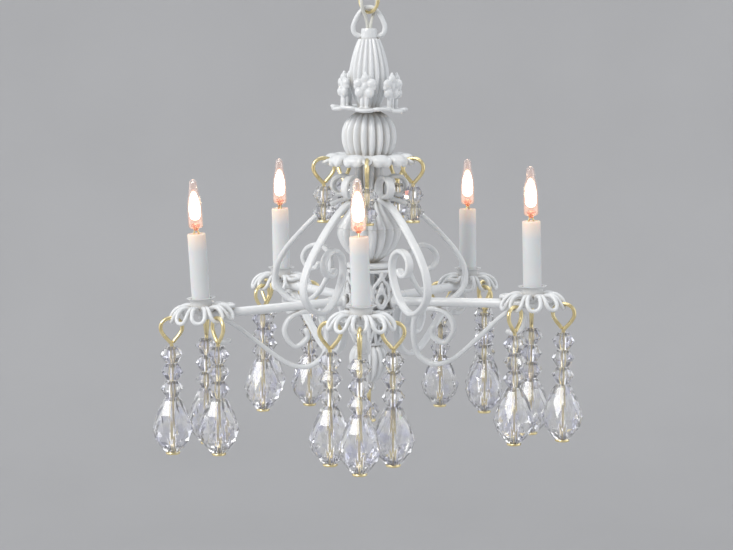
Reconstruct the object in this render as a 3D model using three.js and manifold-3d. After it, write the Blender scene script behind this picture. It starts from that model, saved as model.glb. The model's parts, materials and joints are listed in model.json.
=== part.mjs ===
// Doll's-house chandelier at twelfth scale: an enamelled column with five candle
// arms, scrolls between and under them, wire drip pans hung with crystals, and a
// short chain up to a ceiling rose.
//
// Millimetres, +Z up. The origin is the middle of the rose's flat top, where it
// meets the ceiling. Everything on the fixture is measured from the lips of the
// candle cups, which hang HANG_HEIGHT below the ceiling.

import * as THREE from 'three';
import { mergeVertices } from 'three/addons/utils/BufferGeometryUtils.js';
import Module from 'manifold-3d';

const wasm = await Module();
wasm.setup();

// Driving dimensions
const HANG_HEIGHT = 54.5; // ceiling down to the lips of the candle cups
const ARM_REACH = 25.65; // column axis out to each candle's axis
const ARM_LEVEL = -2.6; // axis of the arm tubes
const ARM_RADIUS = 0.75; // arm tube, outside
const HUB_RADIUS = 3.55; // the cage that the arms are soldered to
const BORE = 0.9; // hole through every turned piece on the stem
const STEM_RADIUS = 0.8;
const STRIP_WIDTH = 1.25; // flat scroll wire, across the scroll
const STRIP_THICKNESS = 0.65;
const PETAL_COUNT = 10;
const PETAL_WIRE = 0.28; // radius of the petal loops' wire
const PAN_TIP = 4.65; // candle axis out to the tips of the drip pan's petals
const PAN_TIP_LEVEL = -3.15;
const CANOPY_TIP = 7.0; // the same two for the canopy on the column
const CANOPY_TIP_LEVEL = 18.4;
const CANDLE_RADIUS = 1.35;
const CANDLE_TOP = 9.6;
const PIN_RADIUS = 0.28; // brass pin and eye that carry a string of beads
const EYE_WIDTH = 3.25; // eye, between wire centres
const EYE_HEIGHT = 3.8;
const BICONE_RADIUS = 1.7;
const BICONE_HEIGHT = 2.55;
const DROP_LENGTH = 8.2;
const LINK_WIRE = 0.25;
const LINK_WIDTH = 4.1; // chain link, between wire centres
const LINK_HEIGHT = 5.4;
const BAIL_TOP = 41.3; // centre of the bail's wire at its apex
const BAIL_WIRE = 0.37;
const LINK_PLAY = 0.1; // between the wires of two links
const SOLDER_GAP = 0.1; // left between pieces that are soldered or threaded up

// Arms in order round the column, as seen from in front. Handwork leaves each
// one slightly out: how far its outer end droops, and how its candle leans.
const ARMS = [
  { name: 'front', azimuth: 0, droop: 0, lean: 1.9 },
  { name: 'right', azimuth: 72, droop: -1.7, lean: 0 },
  { name: 'rear_right', azimuth: 144, droop: 0, lean: -0.7 },
  { name: 'rear_left', azimuth: -144, droop: 0, lean: -1.1 },
  { name: 'left', azimuth: -72, droop: 3.5, lean: 0 },
];

// The three strings of crystals on each drip pan, by their place round it
const PAN_STRINGS = [
  { name: 'outer', azimuth: 0 },
  { name: 'near', azimuth: -3 },
  { name: 'far', azimuth: 3 },
];

const enamel = new THREE.MeshStandardMaterial({ color: 0xe8ebee, roughness: 0.35, metalness: 0.1 });
const brass = new THREE.MeshStandardMaterial({ color: 0xc8b46e, roughness: 0.25, metalness: 1 });
const crystal = new THREE.MeshStandardMaterial({ color: 0xdde3e8, roughness: 0.05, metalness: 0 });
const bulbGlass = new THREE.MeshStandardMaterial({ color: 0xffd9a8, roughness: 0.05, metalness: 0 });
const candlePlastic = new THREE.MeshStandardMaterial({ color: 0xf2f2f0, roughness: 0.6, metalness: 0 });
const insulation = new THREE.MeshStandardMaterial({ color: 0xf0efe8, roughness: 0.5, metalness: 0 });

const radians = THREE.MathUtils.degToRad;

// A closed geometry as a solid that can be joined and cut
function solid(geometry) {
  const bare = geometry.clone();
  bare.deleteAttribute('normal');
  bare.deleteAttribute('uv');
  const merged = mergeVertices(bare, 1e-4);
  const index = merged.index.array;
  const faces = [];
  for (let i = 0; i < index.length; i += 3) {
    const corners = [index[i], index[i + 1], index[i + 2]];
    if (new Set(corners).size === 3) {
      faces.push(...corners);
    }
  }
  const build = (triangles) => new wasm.Manifold(new wasm.Mesh({
    numProp: 3,
    vertProperties: Float32Array.from(merged.attributes.position.array),
    triVerts: Uint32Array.from(triangles),
  }));
  const body = build(faces);
  return body.volume() < 0 ? build(faces.reverse()) : body;
}

function joined(geometries) {
  return geometries.map(solid).reduce((sum, next) => sum.add(next));
}

// Adds one named piece to its group, from a geometry or a joined solid
function place(parent, name, shape, material) {
  const body = shape.isBufferGeometry ? solid(shape) : shape;
  const { vertProperties, triVerts } = body.getMesh();
  const geometry = new THREE.BufferGeometry();
  geometry.setAttribute('position', new THREE.BufferAttribute(vertProperties, 3));
  geometry.setIndex(new THREE.BufferAttribute(triVerts, 1));
  const mesh = new THREE.Mesh(geometry, material);
  mesh.name = name;
  parent.add(mesh);
  return mesh;
}

// A profile of [radius, height] pairs turned about the Z axis
function turned(profile, segments) {
  const points = profile.map(([r, z]) => new THREE.Vector2(r, z));
  return new THREE.LatheGeometry(points, segments).rotateX(Math.PI / 2);
}

// A turned piece threaded on the stem: the outline, closed along its bore
function threaded(outline, segments) {
  const [, top] = outline[0];
  const [, bottom] = outline[outline.length - 1];
  return turned([[BORE, top], ...outline, [BORE, bottom], [BORE, top]], segments);
}

// Presses flutes into a threaded piece, leaving its bore round
function fluted(outline, count, depth) {
  const geometry = threaded(outline, 2 * count);
  const position = geometry.attributes.position;
  for (let i = 0; i < position.count; i++) {
    const x = position.getX(i);
    const y = position.getY(i);
    if (Math.hypot(x, y) > BORE + 0.01) {
      const groove = 0.5 - 0.5 * Math.cos(count * Math.atan2(y, x));
      position.setXY(i, x * (1 - depth * groove), y * (1 - depth * groove));
    }
  }
  return geometry;
}

// A path whose extrusion steps fall on its corners
class CornerPath extends THREE.Curve {
  constructor(points) {
    super();
    this.points = points;
  }

  getPoint(t) {
    const last = this.points.length - 1;
    const from = Math.min(Math.floor(t * last), last - 1);
    return this.points[from].clone().lerp(this.points[from + 1], t * last - from);
  }

  getPointAt(u) {
    return this.getPoint(u);
  }

  getTangentAt(u) {
    const halfStep = 0.5 / (this.points.length - 1);
    const before = this.getPoint(Math.max(0, u - halfStep));
    return this.getPoint(Math.min(1, u + halfStep)).sub(before).normalize();
  }
}

// A wire with flat ends through [x, y, z] corners
function wire(corners, radius, sides) {
  const path = new CornerPath(corners.map((corner) => new THREE.Vector3(...corner)));
  const section = [];
  for (let i = 0; i < sides; i++) {
    const angle = (i + 0.5) * 2 * Math.PI / sides;
    section.push(new THREE.Vector2(radius * Math.cos(angle), radius * Math.sin(angle)));
  }
  return new THREE.ExtrudeGeometry(new THREE.Shape(section), {
    extrudePath: path,
    steps: corners.length - 1,
    bevelEnabled: false,
  });
}

// Corners spaced along a smooth curve through [x, y, z] points
function smooth(points, steps) {
  const curve = new THREE.CatmullRomCurve3(points.map((point) => new THREE.Vector3(...point)));
  return curve.getSpacedPoints(steps).map((point) => point.toArray());
}

// A closed ring of wire upright in the XZ plane: a circle drawn out to height
function chainLink(width, height, radius, sides, steps) {
  const ring = new THREE.TorusGeometry(width / 2, radius, sides, steps).rotateX(Math.PI / 2);
  const position = ring.attributes.position;
  const stretch = (height - width) / 2;
  for (let i = 0; i < position.count; i++) {
    position.setZ(i, position.getZ(i) + Math.sign(Math.round(position.getZ(i) * 1e4)) * stretch);
  }
  return ring;
}

// A flat strip bent on edge in the XZ plane, through [x, z] points of its centre line
function strip(points, samples) {
  const line = points.map(([x, z]) => new THREE.Vector3(x, z, 0));
  const path = new THREE.CatmullRomCurve3(line, false, 'centripetal');
  const near = [];
  const far = [];
  for (let i = 0; i <= samples; i++) {
    const centre = path.getPointAt(i / samples);
    const along = path.getTangentAt(i / samples).multiplyScalar(STRIP_THICKNESS / 2);
    near.push(new THREE.Vector2(centre.x - along.y, centre.y + along.x));
    far.unshift(new THREE.Vector2(centre.x + along.y, centre.y - along.x));
  }
  const outline = new THREE.Shape([...near, ...far]);
  const geometry = new THREE.ExtrudeGeometry(outline, { depth: STRIP_WIDTH, bevelEnabled: false });
  return geometry.translate(0, 0, -STRIP_WIDTH / 2).rotateX(Math.PI / 2);
}

// Points of a curl that opens out from inner to outer radius as it turns
function curl([x, z], inner, outer, start, sweep, count) {
  const points = [];
  for (let i = 0; i <= count; i++) {
    const opening = (1 - i / count) ** 3;
    const radius = outer - (outer - inner) * opening;
    const angle = radians(start + sweep * i / count);
    points.push([x + radius * Math.cos(angle), z + radius * Math.sin(angle)]);
  }
  return points;
}

// A loop of wire standing out from the axis, from [radius, half width, height]
// points of one side, and its mirror image back again
function petal(side, azimuth) {
  const back = side.map(([r, half, z]) => [r, -half, z]).reverse();
  return wire([...side, ...back], PETAL_WIRE, 4).rotateZ(radians(azimuth));
}

// Outward direction of an azimuth, as a rotation of the X axis; azimuth 0 is -Y
function facing(azimuth) {
  return radians(azimuth - 90);
}

const chandelier = new THREE.Group();
const fixture = new THREE.Group();
fixture.position.z = -HANG_HEIGHT;
chandelier.add(fixture);

// Ceiling rose: a turned dish with a flat top and a fixed loop under it
const ROSE_UNDERSIDE = 52.5;
const LOWER_LINK = BAIL_TOP - BAIL_WIRE - LINK_WIRE - LINK_PLAY + LINK_HEIGHT / 2;
const UPPER_LINK = LOWER_LINK + LINK_HEIGHT - 2 * LINK_WIRE - LINK_PLAY;
const LOOP_BOTTOM = UPPER_LINK + LINK_HEIGHT / 2 - 2 * LINK_WIRE - LINK_PLAY;

function makeRose() {
  const dish = turned([
    [0, ROSE_UNDERSIDE],
    [1.6, ROSE_UNDERSIDE],
    [2.4, ROSE_UNDERSIDE + 0.5],
    [4.6, ROSE_UNDERSIDE + 0.9],
    [5.6, ROSE_UNDERSIDE + 1.4],
    [6.0, HANG_HEIGHT],
    [0, HANG_HEIGHT],
  ], 20);
  const loop = wire(smooth([
    [-1.2, 0, ROSE_UNDERSIDE + 0.3],
    [-1.15, 0, LOOP_BOTTOM + 0.9],
    [0, 0, LOOP_BOTTOM],
    [1.15, 0, LOOP_BOTTOM + 0.9],
    [1.2, 0, ROSE_UNDERSIDE + 0.3],
  ], 8), LINK_WIRE, 6).rotateZ(radians(-45));
  place(fixture, 'ceiling_rose', joined([dish, loop]), enamel);
}

// Two oval links, each turned a quarter from the last
function makeChain() {
  const link = chainLink(LINK_WIDTH, LINK_HEIGHT, LINK_WIRE, 6, 12);
  const lower = place(fixture, 'chain_link_2', link, brass);
  lower.position.z = LOWER_LINK;
  lower.rotation.z = radians(-45);
  const upper = place(fixture, 'chain_link_1', link, brass);
  upper.position.z = UPPER_LINK;
  upper.rotation.z = radians(45);
}

// Stirrup of thick wire, its ends soldered to the collar on the stem
function makeBail() {
  const side = [
    [1.35, 0, 37.15],
    [2.1, 0, 37.45],
    [2.36, 0, 38.3],
    [2.05, 0, 39.3],
    [1.4, 0, 40.45],
    [0.7, 0, 41.15],
  ];
  const mirrored = side.map(([x, y, z]) => [-x, y, z]).reverse();
  place(fixture, 'bail', wire(smooth([...side, [0, 0, BAIL_TOP], ...mirrored], 18), BAIL_WIRE, 6), enamel);
}

// Two insulated wires, together out of the stem and apart round the bail and chain
function makeLeads() {
  const route = [
    [0.14, 0, 37.6],
    [0.14, 0, 38.9],
    [0.5, 0.35, 40.0],
    [1.0, 0.95, 41.3],
    [1.15, 0.6, 43.5],
    [1.25, 0, 45.7],
    [1.25, 0, 49.0],
    [1.25, 0, ROSE_UNDERSIDE - SOLDER_GAP],
  ];
  const opposite = route.map(([x, y, z]) => [-x, -y, z]);
  const leads = [route, opposite].map((points) => wire(smooth(points, 12), LINK_WIRE, 4));
  place(fixture, 'lead_pair', joined(leads), insulation);
}

// The column, from the stem outwards and from the top down
function makeColumn() {
  const stem = turned([
    [0, -15],
    [STEM_RADIUS, -15],
    [STEM_RADIUS, 36.7],
    [1.2, 36.7],
    [1.2, 38.2],
    [0.7, 38.2],
    [0.7, 37.3],
    [0, 37.3],
  ], 12);
  const hook = chainLink(1.6, 1.6, LINK_WIRE, 4, 8).translate(0, 0, -15.7);
  place(fixture, 'stem', joined([stem, hook]), enamel);

  place(fixture, 'top_baluster', fluted([
    [1.75, 36.6],
    [2.6, 34.0],
    [3.0, 31.3],
    [2.7, 29.0],
    [1.65, 26.8],
  ], 14, 0.09), enamel);

  place(fixture, 'upper_ball', fluted([
    [1.6, 25.6],
    [3.3, 24.6],
    [4.1, 22.7],
    [4.0, 21.0],
    [3.5, 19.6],
  ], 14, 0.08), enamel);

  place(fixture, 'neck', fluted([
    [2.05, 17.95],
    [2.05, 13.1],
  ], 10, 0.16), enamel);

  place(fixture, 'vase', fluted([
    [2.0, 13.0],
    [2.9, 11.2],
    [4.9, 8.7],
    [4.9, 8.1],
    [4.0, 5.8],
    [1.3, 3.3],
  ], 14, 0.08), enamel);

  place(fixture, 'lower_finial', fluted([
    [2.1, -9.45],
    [3.0, -11.3],
    [2.75, -12.9],
    [1.3, -14.8],
  ], 14, 0.1), enamel);
}

// Scalloped plate with six upright palmettes standing on it, slightly askew
const PALMETTE_COUNT = 6;
const PLATE_LEVEL = 26.0;
const PLATE_THICKNESS = 0.55;

function makeCrown() {
  const plate = threaded([
    [4.9, PLATE_THICKNESS],
    [5.65, PLATE_THICKNESS * 0.7],
    [5.65, 0.1],
    [4.6, 0],
  ], 24);
  const position = plate.attributes.position;
  for (let i = 0; i < position.count; i++) {
    const x = position.getX(i);
    const y = position.getY(i);
    if (Math.hypot(x, y) > 5) {
      const scallop = 1 + 0.035 * Math.cos(12 * Math.atan2(y, x));
      position.setXY(i, x * scallop, y * scallop);
    }
  }

  const rightEdge = [[0.45, 0], [0.5, 0.9], [1.3, 1.7], [1.0, 2.7], [1.6, 3.5], [0.9, 4.5], [0, 5.4]];
  const leftEdge = rightEdge.slice(0, -1).map(([x, z]) => [-x, z]).reverse();
  const leaf = new THREE.Shape([...rightEdge, ...leftEdge].map(([x, z]) => new THREE.Vector2(x, z)));
  const palmettes = [];
  for (let i = 0; i < PALMETTE_COUNT; i++) {
    const palmette = new THREE.ExtrudeGeometry(leaf, { depth: 0.8, bevelEnabled: false });
    palmette.rotateX(Math.PI / 2).translate(0, -3.7, PLATE_THICKNESS - 0.1);
    palmettes.push(palmette.rotateZ(radians(-8 + i * 360 / PALMETTE_COUNT)));
  }

  const crown = place(fixture, 'crown_plate', joined([plate, ...palmettes]), enamel);
  crown.position.z = PLATE_LEVEL;
  crown.rotation.y = radians(2.3);
}

// Domed canopy whose rim is a ring of wire loops
function makeCanopy() {
  const dome = threaded([
    [3.5, 19.4],
    [4.7, 18.9],
    [4.7, 18.5],
    [3.4, 18.1],
  ], 20);
  const side = [
    [4.4, 0.6, 18.7],
    [5.9, 1.15, 18.75],
    [CANOPY_TIP, 0.65, CANOPY_TIP_LEVEL],
  ];
  const loops = [];
  for (let i = 0; i < PETAL_COUNT; i++) {
    loops.push(petal(side, -90 + i * 360 / PETAL_COUNT));
  }
  place(fixture, 'upper_canopy', joined([dome, ...loops]), enamel);
}

// Open cage at arm level: flange, posts, hub disc, and a basket of ribs below
function makeHubCage() {
  const flange = threaded([[3.4, 3.15], [3.4, 2.3]], 20);
  const disc = threaded([[HUB_RADIUS, -1.6], [HUB_RADIUS, -3.7]], 20);
  const ring = threaded([[2.0, -8.7], [2.0, -9.35]], 20);
  const pieces = [flange, disc, ring];
  for (let i = 0; i < PETAL_COUNT; i++) {
    const azimuth = radians(18 + i * 360 / PETAL_COUNT);
    const post = wire([[3.1, 0, -1.8], [3.1, 0, 2.6]], 0.34, 4);
    const rib = wire([[3.1, 0, -3.4], [3.1, 0, -6.0], [1.7, 0, -9.0]], 0.34, 4);
    pieces.push(post.rotateZ(azimuth), rib.rotateZ(azimuth));
  }
  place(fixture, 'hub_cage', joined(pieces), enamel);
}

// Flat scrolls standing between the arms: a curl at the neck, a long sweep out
// and down, and a second curl that turns in under it
function makeScrolls() {
  const centreLine = [
    ...curl([4.3, 14.4], 0.9, 1.87, -110, 380, 12),
    [6.3, 11.6],
    [8.8, 9.7],
    [11.4, 7.2],
    [13.6, 4.7],
    [15.1, 2.0],
    [15.2, -0.6],
    [13.4, -2.7],
    [11.0, -3.4],
    [8.9, -2.4],
    [7.2, -0.2],
    [6.2, 2.4],
    [6.6, 4.6],
    [8.2, 5.6],
    [10.0, 5.0],
    [10.7, 3.6],
    [10.0, 2.2],
    [8.7, 2.0],
    [8.0, 3.0],
  ];
  const shape = strip(centreLine, 34);
  for (let i = 0; i < ARMS.length; i++) {
    const scroll = place(fixture, `scroll_${i + 1}`, shape, enamel);
    scroll.rotation.z = facing(36 + i * 72);
  }
}

// Arm tube with the S-scroll soldered under it, along X from the hub
function armShape() {
  const underside = ARM_LEVEL - ARM_RADIUS - STRIP_THICKNESS / 2 + 0.12;
  const tube = wire([[HUB_RADIUS + 0.15, 0, ARM_LEVEL], [ARM_REACH + 0.6, 0, ARM_LEVEL]], ARM_RADIUS, 6);
  const sScroll = strip([
    [21.5, -6.6],
    [22.7, -7.0],
    [24.0, -6.3],
    [24.4, -5.0],
    [23.7, -3.9],
    [22.5, underside],
    [20.9, -4.5],
    [17.2, -7.8],
    [13.2, -11.1],
    [11.0, -11.9],
    [9.5, -11.8],
    [7.7, -10.6],
    [7.15, -9.1],
    [7.0, -6.6],
    [7.5, -4.7],
    [8.6, -3.8],
    [10.2, underside],
    [12.4, -4.3],
    [13.4, -6.4],
    [11.9, -8.7],
    [9.9, -7.5],
    [10.2, -6.1],
  ], 32);
  return joined([tube, sScroll]);
}

// Cup for the candle with petal loops arching out and down round it
function panShape() {
  const cup = turned([
    [0, -1.75],
    [1.1, -1.75],
    [1.6, -1.3],
    [1.6, -0.8],
    [2.05, -0.2],
    [2.05, 0],
    [1.55, 0],
    [1.55, -0.5],
    [0, -0.5],
  ], 10);
  const drooping = [
    [1.35, 0.22, -1.1],
    [3.4, 0.85, -0.95],
    [PAN_TIP, 0.6, PAN_TIP_LEVEL],
  ];
  // The petal over the arm lies flatter, clear of the tube
  const overArm = drooping.map(([r, half, z]) => [r, half, Math.max(z, -1.45)]);
  const loops = [petal(overArm, 180)];
  for (let i = 1; i < PETAL_COUNT; i++) {
    loops.push(petal(drooping, 180 + i * 360 / PETAL_COUNT));
  }
  return joined([cup, ...loops]);
}

// Hollow plastic candle
function candleShape() {
  return turned([
    [0.95, -0.42],
    [CANDLE_RADIUS, -0.42],
    [CANDLE_RADIUS, CANDLE_TOP - 0.2],
    [CANDLE_RADIUS - 0.15, CANDLE_TOP],
    [0.95, CANDLE_TOP],
    [0.95, -0.42],
  ], 10);
}

// Flame-tip bulb on two pins that plug into the candle
function bulbShape() {
  const glass = turned([
    [0, 10.3],
    [0.85, 10.45],
    [1.06, 11.3],
    [1.08, 13.8],
    [0.68, 15.9],
    [0.6, 17.1],
    [0, 17.6],
  ], 8);
  const pins = [-1, 1].map((side) => wire([
    [side * 0.2, 0, 10.7],
    [side * 0.45, 0, 9.5],
    [side * 0.45, 0, 5.4],
  ], 0.15, 3));
  return joined([glass, ...pins]);
}

// Beads on a pin below its eye. The origin is the petal wire that the eye hangs
// on, and the eye stands in the XZ plane.
function crystalShape(bicones, hasDrop, eyeWidth = EYE_WIDTH, eyeHeight = EYE_HEIGHT) {
  const eyeTop = PETAL_WIRE + PIN_RADIUS + 0.05;
  const eyeBottom = eyeTop - eyeHeight;
  const eye = chainLink(eyeWidth, eyeWidth, PIN_RADIUS, 4, 8);
  const position = eye.attributes.position;
  for (let i = 0; i < position.count; i++) {
    const down = Math.max(0, -position.getZ(i)) / (eyeWidth / 2);
    position.setX(i, position.getX(i) * (1 - 0.35 * down * down));
    position.setZ(i, position.getZ(i) * eyeHeight / eyeWidth);
  }
  eye.translate(0, 0, eyeTop - eyeHeight / 2);

  const profile = [[0, eyeBottom + 0.1], [0.6, eyeBottom - 0.35]];
  let level = eyeBottom - 0.35;
  for (let i = 0; i < bicones; i++) {
    profile.push([0.8, level], [BICONE_RADIUS, level - BICONE_HEIGHT / 2]);
    level -= BICONE_HEIGHT;
  }
  if (hasDrop) {
    profile.push([1.1, level], [3.0, level - 4.5], [2.6, level - 6.2]);
    level -= DROP_LENGTH;
  }
  profile.push([1.05, level], [1.05, level - 0.4], [0, level - 0.4]);
  return joined([eye, turned(profile, 6)]);
}

// Hangs a string of crystals plumb from a point of the fixture, its eye in the
// upright plane that faces along the azimuth
function hang(name, shape, point, azimuth) {
  const group = new THREE.Group();
  group.position.copy(point);
  group.rotation.z = facing(azimuth);
  fixture.add(group);
  place(group, name, shape, crystal);
}

function makeArms() {
  const arm = armShape();
  const pan = panShape();
  const candle = candleShape();
  const bulb = bulbShape();
  const crystals = crystalShape(3, true);
  for (const { name, azimuth, droop, lean } of ARMS) {
    const radial = new THREE.Group();
    radial.rotation.z = facing(azimuth);
    fixture.add(radial);

    // The arm droops about its root at the hub, and carries all that stands on it
    const root = new THREE.Group();
    root.position.set(HUB_RADIUS, 0, ARM_LEVEL);
    root.rotation.y = radians(droop);
    radial.add(root);
    const armGroup = new THREE.Group();
    armGroup.position.set(-HUB_RADIUS, 0, -ARM_LEVEL);
    root.add(armGroup);
    place(armGroup, `arm_${name}`, arm, enamel);

    const seat = new THREE.Group();
    seat.position.x = ARM_REACH;
    armGroup.add(seat);
    place(seat, `drip_pan_${name}`, pan, enamel);
    const stand = new THREE.Group();
    stand.rotation.x = radians(lean);
    seat.add(stand);
    place(stand, `candle_${name}`, candle, candlePlastic);
    place(stand, `bulb_${name}`, bulb, bulbGlass);

    fixture.updateMatrixWorld(true);
    for (const string of PAN_STRINGS) {
      const turn = string.azimuth * 360 / PETAL_COUNT;
      const tip = new THREE.Vector3(PAN_TIP * Math.cos(radians(turn)), PAN_TIP * Math.sin(radians(turn)),
        PAN_TIP_LEVEL);
      const point = fixture.worldToLocal(seat.localToWorld(tip));
      hang(`crystal_${name}_${string.name}`, crystals, point, azimuth + turn);
    }
  }
}

function makeCanopyCrystals() {
  const crystals = crystalShape(2, false);
  for (const { name, azimuth } of ARMS) {
    const angle = facing(azimuth);
    const point = new THREE.Vector3(
      CANOPY_TIP * Math.cos(angle), CANOPY_TIP * Math.sin(angle), CANOPY_TIP_LEVEL);
    hang(`small_crystal_${name}`, crystals, point, azimuth);
  }
  const hook = new THREE.Vector3(0, 0, -16.5);
  hang('centre_crystal', crystalShape(1, false, 1.6, 2.0), hook, 0);
}

makeRose();
makeChain();
makeBail();
makeLeads();
makeColumn();
makeCrown();
makeCanopy();
makeHubCage();
makeScrolls();
makeArms();
makeCanopyCrystals();

export default chandelier;
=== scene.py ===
"""Doll's-house chandelier at twelfth scale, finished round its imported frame.

Shapes are worked out in millimetres from the lips of the candle cups, and each
piece is scaled to metres and set in the frame as its last step.
"""

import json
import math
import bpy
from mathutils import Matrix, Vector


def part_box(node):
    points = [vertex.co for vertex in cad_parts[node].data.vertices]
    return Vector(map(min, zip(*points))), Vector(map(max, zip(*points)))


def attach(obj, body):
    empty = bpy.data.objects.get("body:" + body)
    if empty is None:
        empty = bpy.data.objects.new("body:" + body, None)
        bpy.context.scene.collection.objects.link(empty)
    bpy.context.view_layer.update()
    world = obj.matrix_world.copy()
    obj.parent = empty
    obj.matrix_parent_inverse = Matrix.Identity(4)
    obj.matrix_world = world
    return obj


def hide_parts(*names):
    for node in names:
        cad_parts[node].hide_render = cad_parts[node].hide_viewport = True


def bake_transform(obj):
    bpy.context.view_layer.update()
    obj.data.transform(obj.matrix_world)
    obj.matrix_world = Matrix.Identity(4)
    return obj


bl_info = {
    "name": "Miniature Chandelier",
    "version": (1, 0, 0),
    "blender": (4, 5, 0),
    "location": "3D View > Sidebar > Chandelier",
    "description": "Makes an enamelled five-arm doll's-house chandelier hung with crystals",
    "category": "Object",
}

import bmesh
import bpy
import numpy as np
from bpy.props import FloatProperty, FloatVectorProperty, IntProperty, PointerProperty
from mathutils import Matrix, Vector

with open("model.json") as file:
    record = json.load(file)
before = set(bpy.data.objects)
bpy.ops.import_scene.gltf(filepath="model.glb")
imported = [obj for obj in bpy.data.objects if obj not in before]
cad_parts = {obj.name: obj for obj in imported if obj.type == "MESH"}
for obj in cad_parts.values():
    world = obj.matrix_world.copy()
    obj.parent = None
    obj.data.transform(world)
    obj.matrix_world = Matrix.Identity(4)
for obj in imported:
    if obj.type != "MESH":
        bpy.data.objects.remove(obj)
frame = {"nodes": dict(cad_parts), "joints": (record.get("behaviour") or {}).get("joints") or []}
bpy.context.view_layer.update()
JOINTS = {joint["name"]: joint for joint in frame["joints"]}

MM = 0.001
LIP_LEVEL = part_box("drip_pan_front")[1].z / MM
ARM_AZIMUTHS = {"front": 0, "right": 72, "rear_right": 144, "rear_left": -144, "left": -72}
ARM_REACH = 25.65
ARM_LEVEL = -2.6
HUB_RADIUS = 3.55
BORE = 0.9
BAYS = 5
BAY_ANGLE = 360 / BAYS
PETAL_ANGLE = 36
LOWER_PIVOT = JOINTS["lower_chain_swing"]["pos_m"][2] / MM - LIP_LEVEL
MIDDLE_PIVOT = JOINTS["middle_chain_swing"]["pos_m"][2] / MM - LIP_LEVEL
UPPER_PIVOT = JOINTS["upper_chain_swing"]["pos_m"][2] / MM - LIP_LEVEL
CEILING = -LIP_LEVEL
COLUMN = Matrix.Translation((0, 0, LIP_LEVEL))
SMOOTH_ANGLE = math.radians(40)
ON_AXIS = 1e-6


class FixtureSizes(bpy.types.PropertyGroup):
    petal_wire: FloatProperty(
        name="Petal wire", description="Radius of the wire in the petal loops",
        default=0.00032, unit="LENGTH", precision=5)
    strip_width: FloatProperty(
        name="Strip width", description="Width of the flat wire in the scrolls",
        default=0.00125, unit="LENGTH", precision=5)
    strip_thickness: FloatProperty(
        name="Strip thickness", description="Thickness of the flat wire in the scrolls",
        default=0.00067, unit="LENGTH", precision=5)
    arm_radius: FloatProperty(
        name="Arm radius", description="Radius of the arm tubes",
        default=0.00070, unit="LENGTH", precision=5)
    bail_wire: FloatProperty(
        name="Bail wire", description="Radius of the wire in the bail",
        default=0.00037, unit="LENGTH", precision=5)
    link_wire: FloatProperty(
        name="Link wire", description="Radius of the wire in the chain links",
        default=0.00025, unit="LENGTH", precision=5)
    lead_radius: FloatProperty(
        name="Lead radius", description="Radius of each insulated lead",
        default=0.00026, unit="LENGTH", precision=5)
    pin_radius: FloatProperty(
        name="Pin radius", description="Radius of the brass pins and eyes",
        default=0.00028, unit="LENGTH", precision=5)
    cage_wire: FloatProperty(
        name="Cage wire", description="Radius of the filigree in the hub cage",
        default=0.0003, unit="LENGTH", precision=5)
    drop_facets: IntProperty(
        name="Drop facets", description="Facets round a pear-shaped drop",
        default=10, min=6, max=16)
    bicone_facets: IntProperty(
        name="Bicone facets", description="Facets round a bicone bead",
        default=8, min=6, max=12)


class FixtureColours(bpy.types.PropertyGroup):
    enamel: FloatVectorProperty(
        name="Enamel", description="White enamel on all the castings and wire",
        default=(0.77, 0.785, 0.80), size=3, subtype="COLOR")
    brass: FloatVectorProperty(
        name="Brass", description="Pins, eyes and chain",
        default=(0.84, 0.69, 0.36), size=3, subtype="COLOR")
    candle: FloatVectorProperty(
        name="Candle", description="Plastic candle tubes",
        default=(0.72, 0.735, 0.745), size=3, subtype="COLOR")
    lead: FloatVectorProperty(
        name="Lead", description="Insulation of the leads",
        default=(0.74, 0.74, 0.69), size=3, subtype="COLOR")
    glow: FloatVectorProperty(
        name="Glow", description="Light of the lit filaments",
        default=(1.0, 0.86, 0.62), size=3, subtype="COLOR")
    floor: FloatVectorProperty(
        name="Floor", description="Studio floor and sweep",
        default=(0.52, 0.52, 0.53), size=3, subtype="COLOR")


def sizes():
    return bpy.context.scene.chandelier_sizes


def colours():
    return bpy.context.scene.chandelier_colours


# Node trees

class NodeSheet:
    """Adds nodes to a tree, each with its settings and what feeds its sockets."""

    def __init__(self, tree):
        self.tree = tree

    def add(self, kind, feeds=None, **settings):
        node = self.tree.nodes.new(kind)
        for name, value in settings.items():
            setattr(node, name, value)
        for name, value in (feeds or {}).items():
            self.feed(node.inputs[name], value)
        return node

    def feed(self, socket, value):
        if isinstance(value, bpy.types.Node):
            value = value.outputs[0]
        if isinstance(value, bpy.types.NodeSocket):
            self.tree.links.new(value, socket)
        else:
            socket.default_value = value

    def math(self, operation, *values, clamp=False):
        feeds = dict(enumerate(values))
        return self.add("ShaderNodeMath", feeds, operation=operation, use_clamp=clamp)


def start_tree(name, inputs):
    """A geometry tree with named inputs. Returns its sheet and its input node's sockets."""
    tree = bpy.data.node_groups.new(name, "GeometryNodeTree")
    tree.interface.new_socket("Geometry", in_out="OUTPUT", socket_type="NodeSocketGeometry")
    for label, kind in [("Geometry", "Geometry"), *inputs]:
        tree.interface.new_socket(label, in_out="INPUT", socket_type=f"NodeSocket{kind}")
    given = tree.nodes.new("NodeGroupInput")
    return NodeSheet(tree), given.outputs


def end_tree(sheet, geometry):
    sheet.add("NodeGroupOutput", {"Geometry": geometry})
    return sheet.tree


REPEAT_INPUTS = [
    ("Copies", "Int"), ("First Angle", "Float"), ("Step Angle", "Float"), ("Step Rise", "Float")]


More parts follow.
